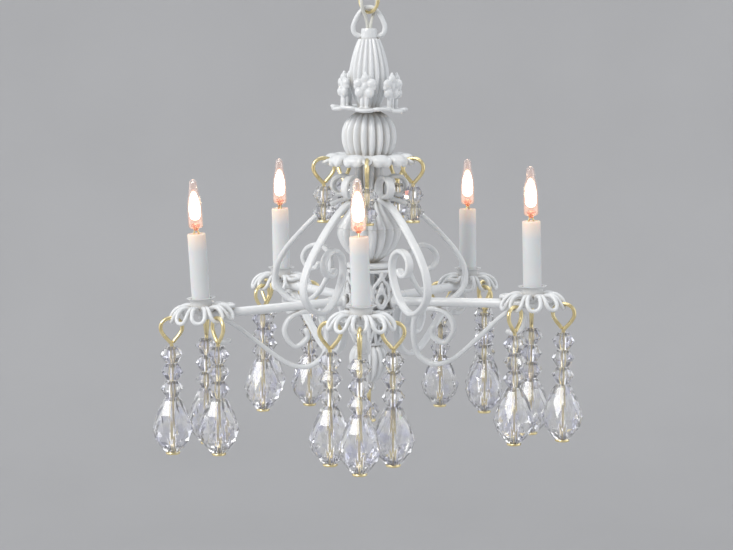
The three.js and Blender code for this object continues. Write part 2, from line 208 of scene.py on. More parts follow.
def make_repeat_tree():
    """Copies round the Z axis, each turned and raised from the last."""
    sheet, given = start_tree("Repeat round the axis", REPEAT_INPUTS)
    rise = sheet.add("ShaderNodeCombineXYZ", {"Z": given["Step Rise"]})
    marks = sheet.add("GeometryNodeMeshLine", {"Count": given["Copies"], "Offset": rise}, mode="OFFSET")
    index = sheet.add("GeometryNodeInputIndex")
    angle = sheet.math("MULTIPLY_ADD", index, given["Step Angle"], given["First Angle"])
    turn = sheet.add("ShaderNodeCombineXYZ", {"Z": angle})
    copies = sheet.add("GeometryNodeInstanceOnPoints", {
        "Points": marks, "Instance": given["Geometry"], "Rotation": turn})
    return end_tree(sheet, sheet.add("GeometryNodeRealizeInstances", {"Geometry": copies}))


def add_repeats(sheet, given, geometry, repeat_tree):
    """The repeat group, then the material, at the end of another tree."""
    group = sheet.add("GeometryNodeGroup", node_tree=repeat_tree)
    sheet.feed(group.inputs["Geometry"], geometry)
    for label, _ in REPEAT_INPUTS:
        sheet.feed(group.inputs[label], given[label])
    whole = sheet.add("GeometryNodeRealizeInstances", {"Geometry": group})
    return end_tree(sheet, sheet.add("GeometryNodeSetMaterial", {
        "Geometry": whole, "Material": given["Material"]}))


def make_wire_tree(repeat_tree):
    """Round wire along a path of edges, repeated round the axis."""
    sheet, given = start_tree("Round wire", [
        ("Wire Radius", "Float"), ("Sides", "Int"), *REPEAT_INPUTS, ("Material", "Material")])
    path = sheet.add("GeometryNodeMeshToCurve", {"Mesh": given["Geometry"]})
    taper = sheet.add("GeometryNodeInputNamedAttribute", {"Name": "taper"}, data_type="FLOAT")
    section = sheet.add("GeometryNodeCurvePrimitiveCircle", {
        "Resolution": given["Sides"], "Radius": given["Wire Radius"]})
    skin = sheet.add("GeometryNodeCurveToMesh", {
        "Curve": path, "Profile Curve": section, "Scale": taper, "Fill Caps": True})
    smooth = sheet.add("GeometryNodeSetShadeSmooth", {"Geometry": skin})
    return add_repeats(sheet, given, smooth, repeat_tree)


def make_strip_tree(repeat_tree):
    """Flat wire bent on edge along a path drawn in XY, then stood up in XZ."""
    sheet, given = start_tree("Flat wire", [
        ("Width", "Float"), ("Thickness", "Float"), ("Edge Radius", "Float"),
        *REPEAT_INPUTS, ("Material", "Material")])
    path = sheet.add("GeometryNodeMeshToCurve", {"Mesh": given["Geometry"]})
    upright = sheet.add("GeometryNodeSetCurveNormal", {"Curve": path}, mode="Z_UP")
    taper = sheet.add("GeometryNodeInputNamedAttribute", {"Name": "taper"}, data_type="FLOAT")
    blank = sheet.add("GeometryNodeCurvePrimitiveQuadrilateral", {
        "Width": given["Thickness"], "Height": given["Width"]})
    section = sheet.add("GeometryNodeFilletCurve", {
        "Curve": blank, "Radius": given["Edge Radius"], "Count": 3}, mode="POLY")
    skin = sheet.add("GeometryNodeCurveToMesh", {
        "Curve": upright, "Profile Curve": section, "Scale": taper, "Fill Caps": True})
    smooth = sheet.add("GeometryNodeSetShadeSmooth", {"Geometry": skin})
    stood = sheet.add("GeometryNodeTransform", {
        "Geometry": smooth, "Rotation": (math.pi / 2, 0, 0)})
    return add_repeats(sheet, given, stood, repeat_tree)


def make_flute_tree(repeat_tree):
    """Presses flutes into a turned shape, as deep as its flute attribute says."""
    sheet, given = start_tree("Fluted turning", [
        ("Flutes", "Int"), ("Depth", "Float"), ("Softness", "Float"),
        *REPEAT_INPUTS, ("Material", "Material")])
    place = sheet.add("ShaderNodeSeparateXYZ", {"Vector": sheet.add("GeometryNodeInputPosition")})
    x, y, z = place.outputs
    angle = sheet.math("ARCTAN2", y, x)
    phase = sheet.math("MULTIPLY", angle, sheet.math("MULTIPLY", given["Flutes"], 0.5))
    wave = sheet.math("COSINE", phase)
    softened = sheet.math("MULTIPLY_ADD", wave, wave, given["Softness"])
    crest = sheet.math("ADD", given["Softness"], 1.0)
    rib = sheet.math("SQRT", sheet.math("DIVIDE", softened, crest))
    share = sheet.add("GeometryNodeInputNamedAttribute", {"Name": "flute"}, data_type="FLOAT")
    depth = sheet.math("MULTIPLY", share, given["Depth"])
    groove = sheet.math("MULTIPLY", depth, sheet.math("SUBTRACT", 1.0, rib))
    scale = sheet.math("SUBTRACT", 1.0, groove)
    pressed = sheet.add("ShaderNodeCombineXYZ", {
        "X": sheet.math("MULTIPLY", x, scale), "Y": sheet.math("MULTIPLY", y, scale), "Z": z})
    shape = sheet.add("GeometryNodeSetPosition", {"Geometry": given["Geometry"], "Position": pressed})
    smooth = sheet.add("GeometryNodeSetShadeSmooth", {"Geometry": shape})
    return add_repeats(sheet, given, smooth, repeat_tree)


def make_copy_tree(repeat_tree):
    """Copies of a finished shape round the axis."""
    sheet, given = start_tree("Copies", [*REPEAT_INPUTS, ("Material", "Material")])
    return add_repeats(sheet, given, given["Geometry"], repeat_tree)


TREES = {}


def tree(kind):
    if not TREES:
        repeat_tree = make_repeat_tree()
        TREES["wire"] = make_wire_tree(repeat_tree)
        TREES["strip"] = make_strip_tree(repeat_tree)
        TREES["flutes"] = make_flute_tree(repeat_tree)
        TREES["copies"] = make_copy_tree(repeat_tree)
    return TREES[kind]


def grown(mesh, kind, material, inputs=None, copies=1, first=0.0, step=0.0, rise=0.0):
    """The plain mesh that a tree makes of a mesh. Angles are in degrees."""
    host = bpy.data.objects.new("host", mesh)
    bpy.context.collection.objects.link(host)
    modifier = host.modifiers.new("shape", "NODES")
    modifier.node_group = tree(kind)
    values = {
        "Copies": copies, "First Angle": math.radians(first), "Step Angle": math.radians(step),
        "Step Rise": float(rise), "Material": material, **(inputs or {})}
    for item in tree(kind).interface.items_tree:
        if item.in_out == "INPUT" and item.name in values:
            modifier[item.identifier] = values[item.name]
    graph = bpy.context.evaluated_depsgraph_get()
    result = bpy.data.meshes.new_from_object(host.evaluated_get(graph))
    host.modifiers.remove(modifier)
    bpy.data.objects.remove(host)
    if not result.polygons:
        raise RuntimeError(f"the {kind} tree made nothing")
    return result


# Lines and meshes, in millimetres

def spline(points, closed=False, steps=14):
    """A smooth line through points: a centripetal Catmull-Rom curve."""
    points = np.array(points, float)
    if closed:
        padded = np.vstack([points[-1:], points, points[:2]])
    else:
        padded = np.vstack([2 * points[0] - points[1], points, 2 * points[-1] - points[-2]])
    line = []
    for before, start, end, after in zip(padded, padded[1:], padded[2:], padded[3:]):
        gaps = [math.sqrt(max(np.linalg.norm(b - a), 1e-9)) for a, b in
                ((before, start), (start, end), (end, after))]
        t0, t1, t2, t3 = np.cumsum([0.0, *gaps])
        t = np.linspace(t1, t2, steps + 1)[:-1, None]
        a1 = (before * (t1 - t) + start * (t - t0)) / (t1 - t0)
        a2 = (start * (t2 - t) + end * (t - t1)) / (t2 - t1)
        a3 = (end * (t3 - t) + after * (t - t2)) / (t3 - t2)
        b1 = (a1 * (t2 - t) + a2 * (t - t0)) / (t2 - t0)
        b2 = (a2 * (t3 - t) + a3 * (t - t1)) / (t3 - t1)
        line.append((b1 * (t2 - t) + b2 * (t - t1)) / (t2 - t1))
    if not closed:
        line.append(points[-1:])
    return np.vstack(line)


def spaced(line, step, closed=False, rounding=0.0):
    """Even points along a line with a taper for each, which rounds off its ends."""
    line = np.array(line, float)
    if closed:
        line = np.vstack([line, line[:1]])
    run = np.concatenate([[0], np.cumsum(np.linalg.norm(np.diff(line, axis=0), axis=1))])
    total = run[-1]
    count = max(3, int(round(total / step)))
    if rounding:
        edge = rounding * (1 - np.cos(np.linspace(0, math.pi / 2, 5)))[:-1]
        middle = np.linspace(rounding, total - rounding, count)
        stations = np.concatenate([edge, middle, total - edge[::-1]])
        inset = np.clip(1 - np.minimum(stations, total - stations) / rounding, 0, 1)
        taper = np.maximum(np.sqrt(1 - inset ** 2), 0.12)
    else:
        stations = np.linspace(0, total, count + 1)[:count if closed else None]
        taper = np.ones(len(stations))
    return np.stack([np.interp(stations, run, axis) for axis in line.T], axis=1), taper


def line_mesh(lines, closed=False):
    """Edges along each (points, taper) line, for the wire trees."""
    points, edges, taper = [], [], []
    for corners, widths in lines:
        base, count = len(points), len(corners)
        points.extend([*corner, 0.0][:3] for corner in corners)
        taper.extend(widths)
        steps = count if closed else count - 1
        edges.extend((base + i, base + (i + 1) % count) for i in range(steps))
    mesh = bpy.data.meshes.new("path")
    mesh.from_pydata(points, edges, [])
    mesh.attributes.new("taper", "FLOAT", "POINT").data.foreach_set("value", taper)
    return mesh


def wire(lines, radius, material, closed=False, sides=12, **repeats):
    """Round wire along (points, taper) lines."""
    section = {"Wire Radius": radius, "Sides": sides}
    return grown(line_mesh(lines, closed), "wire", material, section, **repeats)


def flat_wire(points, material):
    """A flat strip through [x, z] points, ends rounded."""
    thickness = sizes().strip_thickness / MM
    line = spaced(spline(points), 0.32, rounding=0.3)
    return grown(line_mesh([line]), "strip", material, {
        "Width": sizes().strip_width / MM, "Thickness": thickness, "Edge Radius": thickness * 0.36})


def outline(*runs, step=0.22):
    """[radius, height] pairs: each run is smooth, and corners are left where runs meet."""
    pairs = []
    for run in runs:
        smooth = spaced(spline(run), step)[0] if len(run) > 2 else np.array(run, float)
        pairs.extend(smooth if not pairs else smooth[1:])
    return pairs


def turned_mesh(pairs, segments, flute=None):
    """Turns a profile about Z. It starts and ends on the axis, or is closed by itself."""
    starts_on_axis = pairs[0][0] < ON_AXIS
    points, rings = [], []
    for r, z in pairs:
        if r < ON_AXIS:
            rings.append([len(points)] * segments)
            points.append((0, 0, z))
        else:
            rings.append(list(range(len(points), len(points) + segments)))
            for i in range(segments):
                angle = 2 * math.pi * i / segments
                points.append((r * math.cos(angle), r * math.sin(angle), z))
    if not starts_on_axis:
        rings.append(rings[0])
    faces = []
    for one, two in zip(rings, rings[1:]):
        for i in range(segments):
            j = (i + 1) % segments
            face = list(dict.fromkeys([one[i], one[j], two[j], two[i]]))
            if len(face) > 2:
                faces.append(face)
    mesh = bpy.data.meshes.new("turned")
    mesh.from_pydata(points, [], faces)
    if flute:
        shares = [flute(math.hypot(x, y)) for x, y, _ in points]
        mesh.attributes.new("flute", "FLOAT", "POINT").data.foreach_set("value", shares)
    return mesh


def smoothed(mesh, material):
    mesh.polygons.foreach_set("use_smooth", [True] * len(mesh.polygons))
    mesh.materials.append(material)
    return mesh


def turned(pairs, segments, material):
    return smoothed(turned_mesh(pairs, segments), material)


def threaded(*runs):
    """A profile closed along the bore for the stem."""
    pairs = outline(*runs)
    return [(BORE, pairs[0][1]), *pairs, (BORE, pairs[-1][1])]


def fluted(pairs, count, depth, softness, material):
    """A turned piece with its flutes pressed in clear of the bore."""
    base = turned_mesh(pairs, count * 12, lambda r: min(1.0, max(0.0, (r - BORE - 0.1) / 0.45)))
    return grown(base, "flutes", material, {"Flutes": count, "Depth": depth, "Softness": softness})


def ellipsoids(parts):
    """Overlapping (centre, radii) balls as one mesh."""
    sheet = bmesh.new()
    for centre, radii in parts:
        place = Matrix.Translation(centre) @ Matrix.Diagonal((*radii, 1))
        bmesh.ops.create_icosphere(sheet, subdivisions=3, radius=1, matrix=place)
    mesh = bpy.data.meshes.new("balls")
    sheet.to_mesh(mesh)
    sheet.free()
    return mesh


def cast_together(mesh, voxel, material, smoothing=4):
    """Melts overlapping shapes into one soft-edged casting."""
    host = bpy.data.objects.new("casting", mesh)
    bpy.context.collection.objects.link(host)
    melt = host.modifiers.new("melt", "REMESH")
    melt.mode = "VOXEL"
    melt.voxel_size = voxel
    melt.use_smooth_shade = True
    soften = host.modifiers.new("soften", "SMOOTH")
    soften.factor = 0.5
    soften.iterations = smoothing
    graph = bpy.context.evaluated_depsgraph_get()
    result = bpy.data.meshes.new_from_object(host.evaluated_get(graph))
    bpy.data.objects.remove(host)
    result.materials.clear()
    result.materials.append(material)
    return result


def facets(rings, sides, bore, material):
    """A bored bead of flat facets between (radius, height, turned half a step) rings."""
    rings = [(bore, rings[0][1], rings[0][2]), *rings, (bore, rings[-1][1], rings[-1][2])]
    points = []
    for r, z, turned_half in rings:
        for i in range(sides):
            angle = 2 * math.pi * (i + 0.5 * turned_half) / sides
            points.append((r * math.cos(angle), r * math.sin(angle), z))
    faces = []
    for k in range(len(rings)):
        one, two = k, (k + 1) % len(rings)
        turn_one, turn_two = rings[one][2], rings[two][2]
        for i in range(sides):
            j = (i + 1) % sides
            a, b, c, d = one * sides + i, one * sides + j, two * sides + i, two * sides + j
            if turn_one == turn_two:
                faces.append((a, b, d, c))
            elif turn_two:
                faces.extend([(a, b, c), (b, d, c)])
            else:
                faces.extend([(c, a, d), (a, b, d)])
    mesh = bpy.data.meshes.new("bead")
    mesh.from_pydata(points, [], faces)
    mesh.materials.append(material)
    return mesh


def settle(name, meshes, placement, body, nodes, along=None, blend=None, faceted=False):
    """Joins meshes into one named piece, sets it in the frame and rides it on its body.

    along gives the lowest and highest z of the along attribute, which runs from 0 to 1.
    blend, when given, has the placement baked into the mesh and no body set; the two bodies and the heights
    it holds are not used.
    """
    sheet = bmesh.new()
    for mesh in meshes:
        sheet.from_mesh(mesh)
    bmesh.ops.recalc_face_normals(sheet, faces=sheet.faces)
    joined = bpy.data.meshes.new(name)
    sheet.to_mesh(joined)
    sheet.free()
    if along:
        low, high = along
        shares = [min(1.0, max(0.0, (v.co.z - low) / (high - low))) for v in joined.vertices]
        joined.attributes.new("along", "FLOAT", "POINT").data.foreach_set("value", shares)
    joined.transform(Matrix.Scale(MM, 4) @ placement)
    joined.materials.clear()
    joined.materials.append(meshes[0].materials[0])
    if faceted:
        joined.shade_flat()
    else:
        joined.set_sharp_from_angle(angle=SMOOTH_ANGLE)
    for spare in ("taper", "flute"):
        if spare in joined.attributes:
            joined.attributes.remove(joined.attributes[spare])
    piece = bpy.data.objects.new(name, joined)
    bpy.context.collection.objects.link(piece)
    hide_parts(*nodes)
    if blend:
        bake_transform(piece)
    else:
        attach(piece, body)
    return piece


# Finishes

def start_finish(name, constants):
    """A material, its sheet and its shader with the constant sockets set."""
    material = bpy.data.materials.new(name)
    material.use_nodes = True
    shader = material.node_tree.nodes["Principled BSDF"]
    for label, value in constants.items():
        shader.inputs[label].default_value = value
    return material, NodeSheet(material.node_tree), shader


def mottle(sheet, size, detail=2.0, stretch=(1, 1, 1)):
    """Noise with features about size millimetres across, on Object coordinates."""
    place = sheet.add("ShaderNodeTexCoord").outputs["Object"]
    mapped = sheet.add("ShaderNodeMapping", {"Vector": place, "Scale": stretch})
    return sheet.add("ShaderNodeTexNoise", {"Vector": mapped, "Scale": 1000 / size, "Detail": detail})


def levels(sheet, value, low, high, start=0.3, end=0.7):
    return sheet.add("ShaderNodeMapRange", {
        "Value": value, "From Min": start, "From Max": end, "To Min": low, "To Max": high})


def tinted(sheet, share, first, second):
    """Goes from the first colour to the second. Either is three numbers or a socket."""
    ends = [(*end, 1) if isinstance(end, tuple) else end for end in (first, second)]
    mix = sheet.add("ShaderNodeMix", {0: share, 6: ends[0], 7: ends[1]}, data_type="RGBA")
    return mix.outputs[2]


def along_share(sheet):
    """How far up its piece a point lies, from 0 to 1."""
    return sheet.add("ShaderNodeAttribute", attribute_name="along").outputs["Fac"]


def add_bump(sheet, shader, height, strength, depth):
    bump = sheet.add("ShaderNodeBump", {
        "Height": height, "Strength": strength, "Distance": depth * MM})
    sheet.feed(shader.inputs["Normal"], bump)


def shade(colour, amount):
    return tuple(channel * amount for channel in colour)


# Painted shade: shares of the enamel colour that darken it to a warm grey in creases and recesses.
PAINTED_SHADE_SHARES = (0.68, 0.63, 0.56)


def make_enamel():
    base = tuple(colours().enamel)
    material, sheet, shader = start_finish("white_enamel", {
        "Coat Weight": 0.35, "Coat Roughness": 0.12, "IOR": 1.5})
    # Painted shade: the enamel turns this warm grey wherever ambient occlusion finds creases and recesses,
    # standing in for the shade that falls there.
    painted_shade = tuple(channel * share for channel, share in zip(base, PAINTED_SHADE_SHARES))
    broad = levels(sheet, mottle(sheet, 4.0), 0.0, 1.0)
    body = tinted(sheet, broad, shade(base, 0.965), base)
    hollow = sheet.add("ShaderNodeAmbientOcclusion", {"Distance": 1.1 * MM}, samples=6)
    open_share = levels(sheet, hollow.outputs["AO"], 0.0, 1.0, 0.15, 0.75)
    sheet.feed(shader.inputs["Base Color"], tinted(sheet, open_share, painted_shade, body))
    sheet.feed(shader.inputs["Roughness"], levels(sheet, mottle(sheet, 1.4), 0.26, 0.42))
    runs = sheet.math("ADD", mottle(sheet, 0.9, 1.0), sheet.math("MULTIPLY", mottle(sheet, 0.25), 0.3))
    add_bump(sheet, shader, runs, 0.22, 0.09)
    return material


def make_brass():
    base = tuple(colours().brass)
    material, sheet, shader = start_finish("pale_brass", {"Metallic": 1.0})
    worn = levels(sheet, mottle(sheet, 1.2, 3.0), 0.0, 1.0)
    sheet.feed(shader.inputs["Base Color"], tinted(sheet, worn, shade(base, 0.92), (0.91, 0.79, 0.47)))
    sheet.feed(shader.inputs["Roughness"], levels(sheet, mottle(sheet, 0.8, 2.0), 0.26, 0.36))
    add_bump(sheet, shader, mottle(sheet, 0.4, 2.0), 0.05, 0.03)
    return material


def make_crystal():
    material, sheet, shader = start_finish("clear_crystal", {
        "Transmission Weight": 0.9, "IOR": 1.5, "Coat Weight": 0.4, "Coat Roughness": 0.02})
    # Painted glints: noise patches tint the clear glass pale blue-violet, standing in for the dispersion
    # glints of cut crystal.
    painted_glint_share = levels(sheet, mottle(sheet, 1.8, 1.0), 0.0, 1.0, 0.36, 0.5)
    sheet.feed(shader.inputs["Base Color"], tinted(sheet, painted_glint_share, (0.84, 0.85, 1.0), (1.0, 0.997, 0.99)))
    sheet.feed(shader.inputs["Roughness"], levels(sheet, mottle(sheet, 0.8, 2.0), 0.0, 0.02))
    return material


def make_bulb_glass():
    # Painted glow and painted reflection: the glass gives off a faint warm light, orange towards the foot,
    # standing in for the halo round the lit filament, and its colour turns faintly rose towards the foot as
    # a painted reflection.
    material, sheet, shader = start_finish("bulb_glass", {
        "Transmission Weight": 1.0, "IOR": 1.46, "Emission Strength": 0.12})
    share = along_share(sheet)
    sheet.feed(shader.inputs["Base Color"], tinted(sheet, share, (1.0, 0.96, 0.93), (1.0, 0.985, 0.975)))
    sheet.feed(shader.inputs["Emission Color"], tinted(sheet, share, (1.0, 0.42, 0.18), (0.35, 0.16, 0.10)))
    sheet.feed(shader.inputs["Roughness"], levels(sheet, mottle(sheet, 0.7), 0.0, 0.04))
    return material


def make_filament():
    glow = tuple(colours().glow)
    material, sheet, shader = start_finish("lit_filament", {"Emission Strength": 9.0, "Roughness": 0.5})
    share = along_share(sheet)
    middle = sheet.math("ABSOLUTE", sheet.math("MULTIPLY_ADD", share, 2.0, -0.9))
    edge = levels(sheet, middle, 0.0, 1.0, 0.5, 1.1)
    flicker = sheet.math("MULTIPLY", mottle(sheet, 0.5), 0.12)
    mixed = sheet.math("ADD", edge, flicker, clamp=True)
    sheet.feed(shader.inputs["Emission Color"], tinted(sheet, mixed, glow, (0.34, 0.13, 0.08)))
    shader.inputs["Base Color"].default_value = (*glow, 1)
    return material


def make_seal():
    # The red is the bead's own colour; its faint red-orange emission is painted glow from the lit bulb.
    material, sheet, shader = start_finish("red_seal_glass", {
        "Transmission Weight": 0.7, "IOR": 1.5, "Emission Strength": 0.08})
    swirl = levels(sheet, mottle(sheet, 0.4), 0.0, 1.0)
    sheet.feed(shader.inputs["Base Color"], tinted(sheet, swirl, (0.62, 0.20, 0.20), (0.96, 0.74, 0.70)))
    sheet.feed(shader.inputs["Emission Color"], tinted(sheet, swirl, (0.8, 0.10, 0.05), (1.0, 0.30, 0.16)))
    sheet.feed(shader.inputs["Roughness"], levels(sheet, swirl, 0.04, 0.2, 0.0, 1.0))
    return material


def make_candle_plastic():
    base = tuple(colours().candle)
    # Painted light: towards the top the plastic turns peach and gives off a faint orange glow, standing in
    # for the light of the bulb above falling on it.
    material, sheet, shader = start_finish("candle_plastic", {
        "Subsurface Weight": 0.25, "Subsurface Scale": 0.6 * MM, "Emission Strength": 0.15})
    share = along_share(sheet)
    # Painted light: share of the bulb's light painted on the candle, rising towards its top.
    painted_bulb_light = levels(sheet, share, 0.0, 1.0, 0.74, 1.05)
    cloud = levels(sheet, mottle(sheet, 2.5), 0.0, 0.35)
    body = tinted(sheet, cloud, base, shade(base, 0.93))
    sheet.feed(shader.inputs["Base Color"], tinted(sheet, painted_bulb_light, body, (0.93, 0.80, 0.68)))
    sheet.feed(shader.inputs["Emission Color"], tinted(sheet, painted_bulb_light, (0.0, 0.0, 0.0), (1.0, 0.45, 0.18)))
    sheet.feed(shader.inputs["Roughness"], levels(sheet, mottle(sheet, 0.6, 3.0), 0.42, 0.6))
    add_bump(sheet, shader, mottle(sheet, 0.35, 3.0, stretch=(1, 1, 0.2)), 0.12, 0.04)
    return material


def make_insulation():
    base = tuple(colours().lead)
    material, sheet, shader = start_finish("lead_insulation", {"IOR": 1.45})
    handled = levels(sheet, mottle(sheet, 1.6, 3.0), 0.0, 1.0)
    sheet.feed(shader.inputs["Base Color"], tinted(sheet, handled, base, shade(base, 0.88)))
    sheet.feed(shader.inputs["Roughness"], levels(sheet, mottle(sheet, 0.5), 0.38, 0.55))
    add_bump(sheet, shader, mottle(sheet, 0.3, 2.0, stretch=(1, 1, 0.3)), 0.15, 0.03)
    return material


def make_floor_finish():
    base = tuple(colours().floor)
    material, sheet, shader = start_finish("studio_paper", {"Specular IOR Level": 0.2})
    grain = levels(sheet, mottle(sheet, 60.0, 3.0), 0.0, 1.0)
    sheet.feed(shader.inputs["Base Color"], tinted(sheet, grain, base, shade(base, 0.97)))
    sheet.feed(shader.inputs["Roughness"], levels(sheet, grain, 0.8, 0.9, 0.0, 1.0))
    return material


FINISHES = {}
FINISH_MAKERS = {
    "enamel": make_enamel, "brass": make_brass, "crystal": make_crystal,
    "bulb_glass": make_bulb_glass, "filament": make_filament, "seal": make_seal,
    "candle": make_candle_plastic, "insulation": make_insulation, "floor": make_floor_finish,
}


def finish(kind):
    if kind not in FINISHES:
        FINISHES[kind] = FINISH_MAKERS[kind]()
    return FINISHES[kind]


# Stage

CAMERA_AZIMUTH = 2.4
CAMERA_DISTANCE = 295.0
CAMERA_LEVEL = 36.0
CAMERA_PITCH = 6.72
CAMERA_YAW = 0.073
SENSOR_WIDTH = 36.0
LENS = 96.6
AIR_COLOUR = (0.96, 0.98, 1.0, 1)
AIR_STRENGTH = 0.45
LIGHT_BOUNCES = 20
SWEEP_PAPER = 6.0
SOFTBOXES = [
    # name, place in metres, width, power, colour
    ("key", (-0.40, -0.46, 0.38), 0.36, 3.4, (1.0, 0.99, 0.97)),
    ("right", (0.66, -0.10, 0.02), 0.80, 2.2, (0.95, 0.975, 1.0)),
    ("left", (-0.68, 0.06, 0.0), 0.80, 1.9, (0.96, 0.98, 1.0)),
    ("top", (0.06, 0.20, 0.60), 0.60, 1.9, (0.98, 0.99, 1.0)),
]


def make_stage():
    """A pale bowl-shaped sweep, four softboxes round the fixture, and the camera."""
    floor = outline([(0.0, -250.0), (500.0, -250.0)],
                    [(500.0, -250.0), (640.0, -235.0), (730.0, -190.0), (780.0, -110.0), (800.0, 0.0)],
                    [(800.0, 0.0), (800.0, 260.0)], step=30.0)
    under = [(r + SWEEP_PAPER if r > ON_AXIS else r, z - SWEEP_PAPER) for r, z in reversed(floor)]
    mesh = turned([*floor, *under], 96, finish("floor"))
    mesh.transform(Matrix.Scale(MM, 4))
    sweep = bpy.data.objects.new("studio_sweep", mesh)
    bpy.context.collection.objects.link(sweep)

    middle = Vector((0, 0, LIP_LEVEL * MM))
    for name, place, width, power, colour in SOFTBOXES:
        light = bpy.data.lights.new(f"softbox_{name}", "AREA")
        light.shape = "SQUARE"
        light.size = width
        light.energy = power
        light.color = colour
        lamp = bpy.data.objects.new(f"softbox_{name}", light)
        lamp.location = place
        lamp.rotation_euler = (middle - Vector(place)).to_track_quat("-Z", "Y").to_euler()
        bpy.context.collection.objects.link(lamp)

    world = bpy.data.worlds.new("studio_air")
    world.use_nodes = True
    air = world.node_tree.nodes["Background"].inputs
    air["Color"].default_value = AIR_COLOUR
    air["Strength"].default_value = AIR_STRENGTH
    scene = bpy.context.scene
    scene.world = world
    scene.view_settings.view_transform = "Standard"
    scene.cycles.max_bounces = LIGHT_BOUNCES
    scene.cycles.transmission_bounces = LIGHT_BOUNCES

    lens = bpy.data.cameras.new("camera")
    lens.sensor_width = SENSOR_WIDTH
    lens.lens = LENS
    lens.clip_start = 0.01
    lens.clip_end = 20.0
    camera = bpy.data.objects.new("camera", lens)
    azimuth = math.radians(CAMERA_AZIMUTH)
    camera.location = Vector((
        CAMERA_DISTANCE * math.sin(azimuth), -CAMERA_DISTANCE * math.cos(azimuth),
        LIP_LEVEL + CAMERA_LEVEL)) * MM
    camera.rotation_euler = (
        math.radians(90 - CAMERA_PITCH), 0, math.radians(CAMERA_AZIMUTH + CAMERA_YAW))
    bpy.context.collection.objects.link(camera)
    scene.camera = camera


# Chain, leads and bail

ROSE_DEPTH = 2.0
LEAD_SPACING = 1.25


def both_sides(side, top):
    """A path up one side, over a top point and down the other side."""
    return [*side, top, *[(-x, y, z) for x, y, z in reversed(side)]]


def make_rose():
    """A dish with a fixed loop for the chain and a bush for each lead."""
    enamel = finish("enamel")
    under = CEILING - ROSE_DEPTH
    dish = turned(outline(
        [(0.0, under), (0.9, under)],
        [(0.9, under), (1.7, under + 0.02), (2.3, under + 0.35), (2.5, under + 0.6)],
        [(2.5, under + 0.6), (3.6, under + 0.62), (4.6, under + 0.85), (5.15, under + 1.15)],
        [(5.15, under + 1.15), (5.6, under + 1.2), (5.95, under + 1.5), (6.0, CEILING - 0.05)],
        [(6.0, CEILING - 0.05), (5.95, CEILING)],
        [(5.95, CEILING), (0.0, CEILING)],
    ), 72, enamel)
    low = UPPER_PIVOT
    side = [(-1.2, 0, under + 0.4), (-1.18, 0, low + 0.95), (-0.75, 0, low + 0.2)]
    points = both_sides(side, (0, 0, low))
    loop = wire([spaced(spline(points), 0.15)], sizes().link_wire / MM, enamel, first=-45)
    bushes = []
    for x in (-LEAD_SPACING, LEAD_SPACING):
        bush = turned([(0.30, under + 0.1), (0.32, under - 0.12), (0.42, under - 0.17),
                       (0.52, under - 0.12), (0.55, under + 0.1)], 24, enamel)
        bush.transform(Matrix.Translation((x, 0, 0)))
        bushes.append(bush)
    settle("ceiling_rose_enamelled", [dish, loop, *bushes], COLUMN, "ceiling",
           ["ceiling_rose"])


LINKS = [("chain_link_1", "upper_link", 45), ("chain_link_2", "lower_link", -45)]
LINK_CORNERS = 24


def make_links():
    """Oval links of round brass wire, each turned across its neighbour."""
    brass = finish("brass")
    radius = sizes().link_wire / MM
    for node, body, turn in LINKS:
        low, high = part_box(node)
        middle = (low.z + high.z) / 2 / MM - LIP_LEVEL
        tall = (high.z - low.z) / MM / 2 - radius
        wide = math.hypot(high.x - low.x, high.y - low.y) / MM / 2 - radius - 0.12
        points = []
        for i in range(LINK_CORNERS):
            angle = 2 * math.pi * i / LINK_CORNERS
            x, z = wide * math.cos(angle), wide * math.sin(angle)
            if abs(z) > ON_AXIS:
                z += math.copysign(tall - wide, z)
            points.append((x, 0, z))
        ring = wire([spaced(spline(points, closed=True), 0.2, closed=True)], radius, brass,
                    closed=True, sides=14, first=turn)
        place = COLUMN @ Matrix.Translation((0, 0, middle))
        settle(f"{node}_wire", [ring], place, body, [node])


# x, y and height of one lead, from the stem through the links to the rose
LEAD_ROUTE = [
    (0.25, 0, 37.45), (0.25, 0, 38.8), (0.55, 0.35, 40.0), (1.0, 0.95, 41.3), (1.15, 0.6, 43.5),
    (LEAD_SPACING, 0, 45.7), (LEAD_SPACING, 0, 49.0), (LEAD_SPACING, 0, 52.45),
]
LEAD_STATIONS = 26
BEND_REACH = 1.3


def make_leads():
    """Two leads in three stretches, each reaching across one joint of the chain."""
    insulation = finish("insulation")
    route = spline(LEAD_ROUTE)
    low_cut = (LOWER_PIVOT + MIDDLE_PIVOT) / 2
    high_cut = (MIDDLE_PIVOT + UPPER_PIVOT) / 2
    stretches = [
        ("leads_at_bail", route[0][2], low_cut, ("fixture", "lower_link"), LOWER_PIVOT),
        ("leads_between_links", low_cut, high_cut, ("lower_link", "upper_link"), MIDDLE_PIVOT),
        ("leads_at_rose", high_cut, route[-1][2], ("upper_link", "ceiling"), UPPER_PIVOT),
    ]
    for name, low, high, bodies, pivot in stretches:
        heights = np.linspace(low, high, LEAD_STATIONS)
        lines = []
        for side in (1, -1):
            x = np.interp(heights, route[:, 2], route[:, 0]) * side
            y = np.interp(heights, route[:, 2], route[:, 1]) * side
            lines.append((np.stack([x, y, heights], axis=1), np.ones(len(heights))))
        leads = wire(lines, sizes().lead_radius / MM, insulation)
        start, end = pivot - BEND_REACH + LIP_LEVEL, pivot + BEND_REACH + LIP_LEVEL
        settle(name, [leads], COLUMN, None, ["lead_pair"],
               blend=(bodies, start, end))


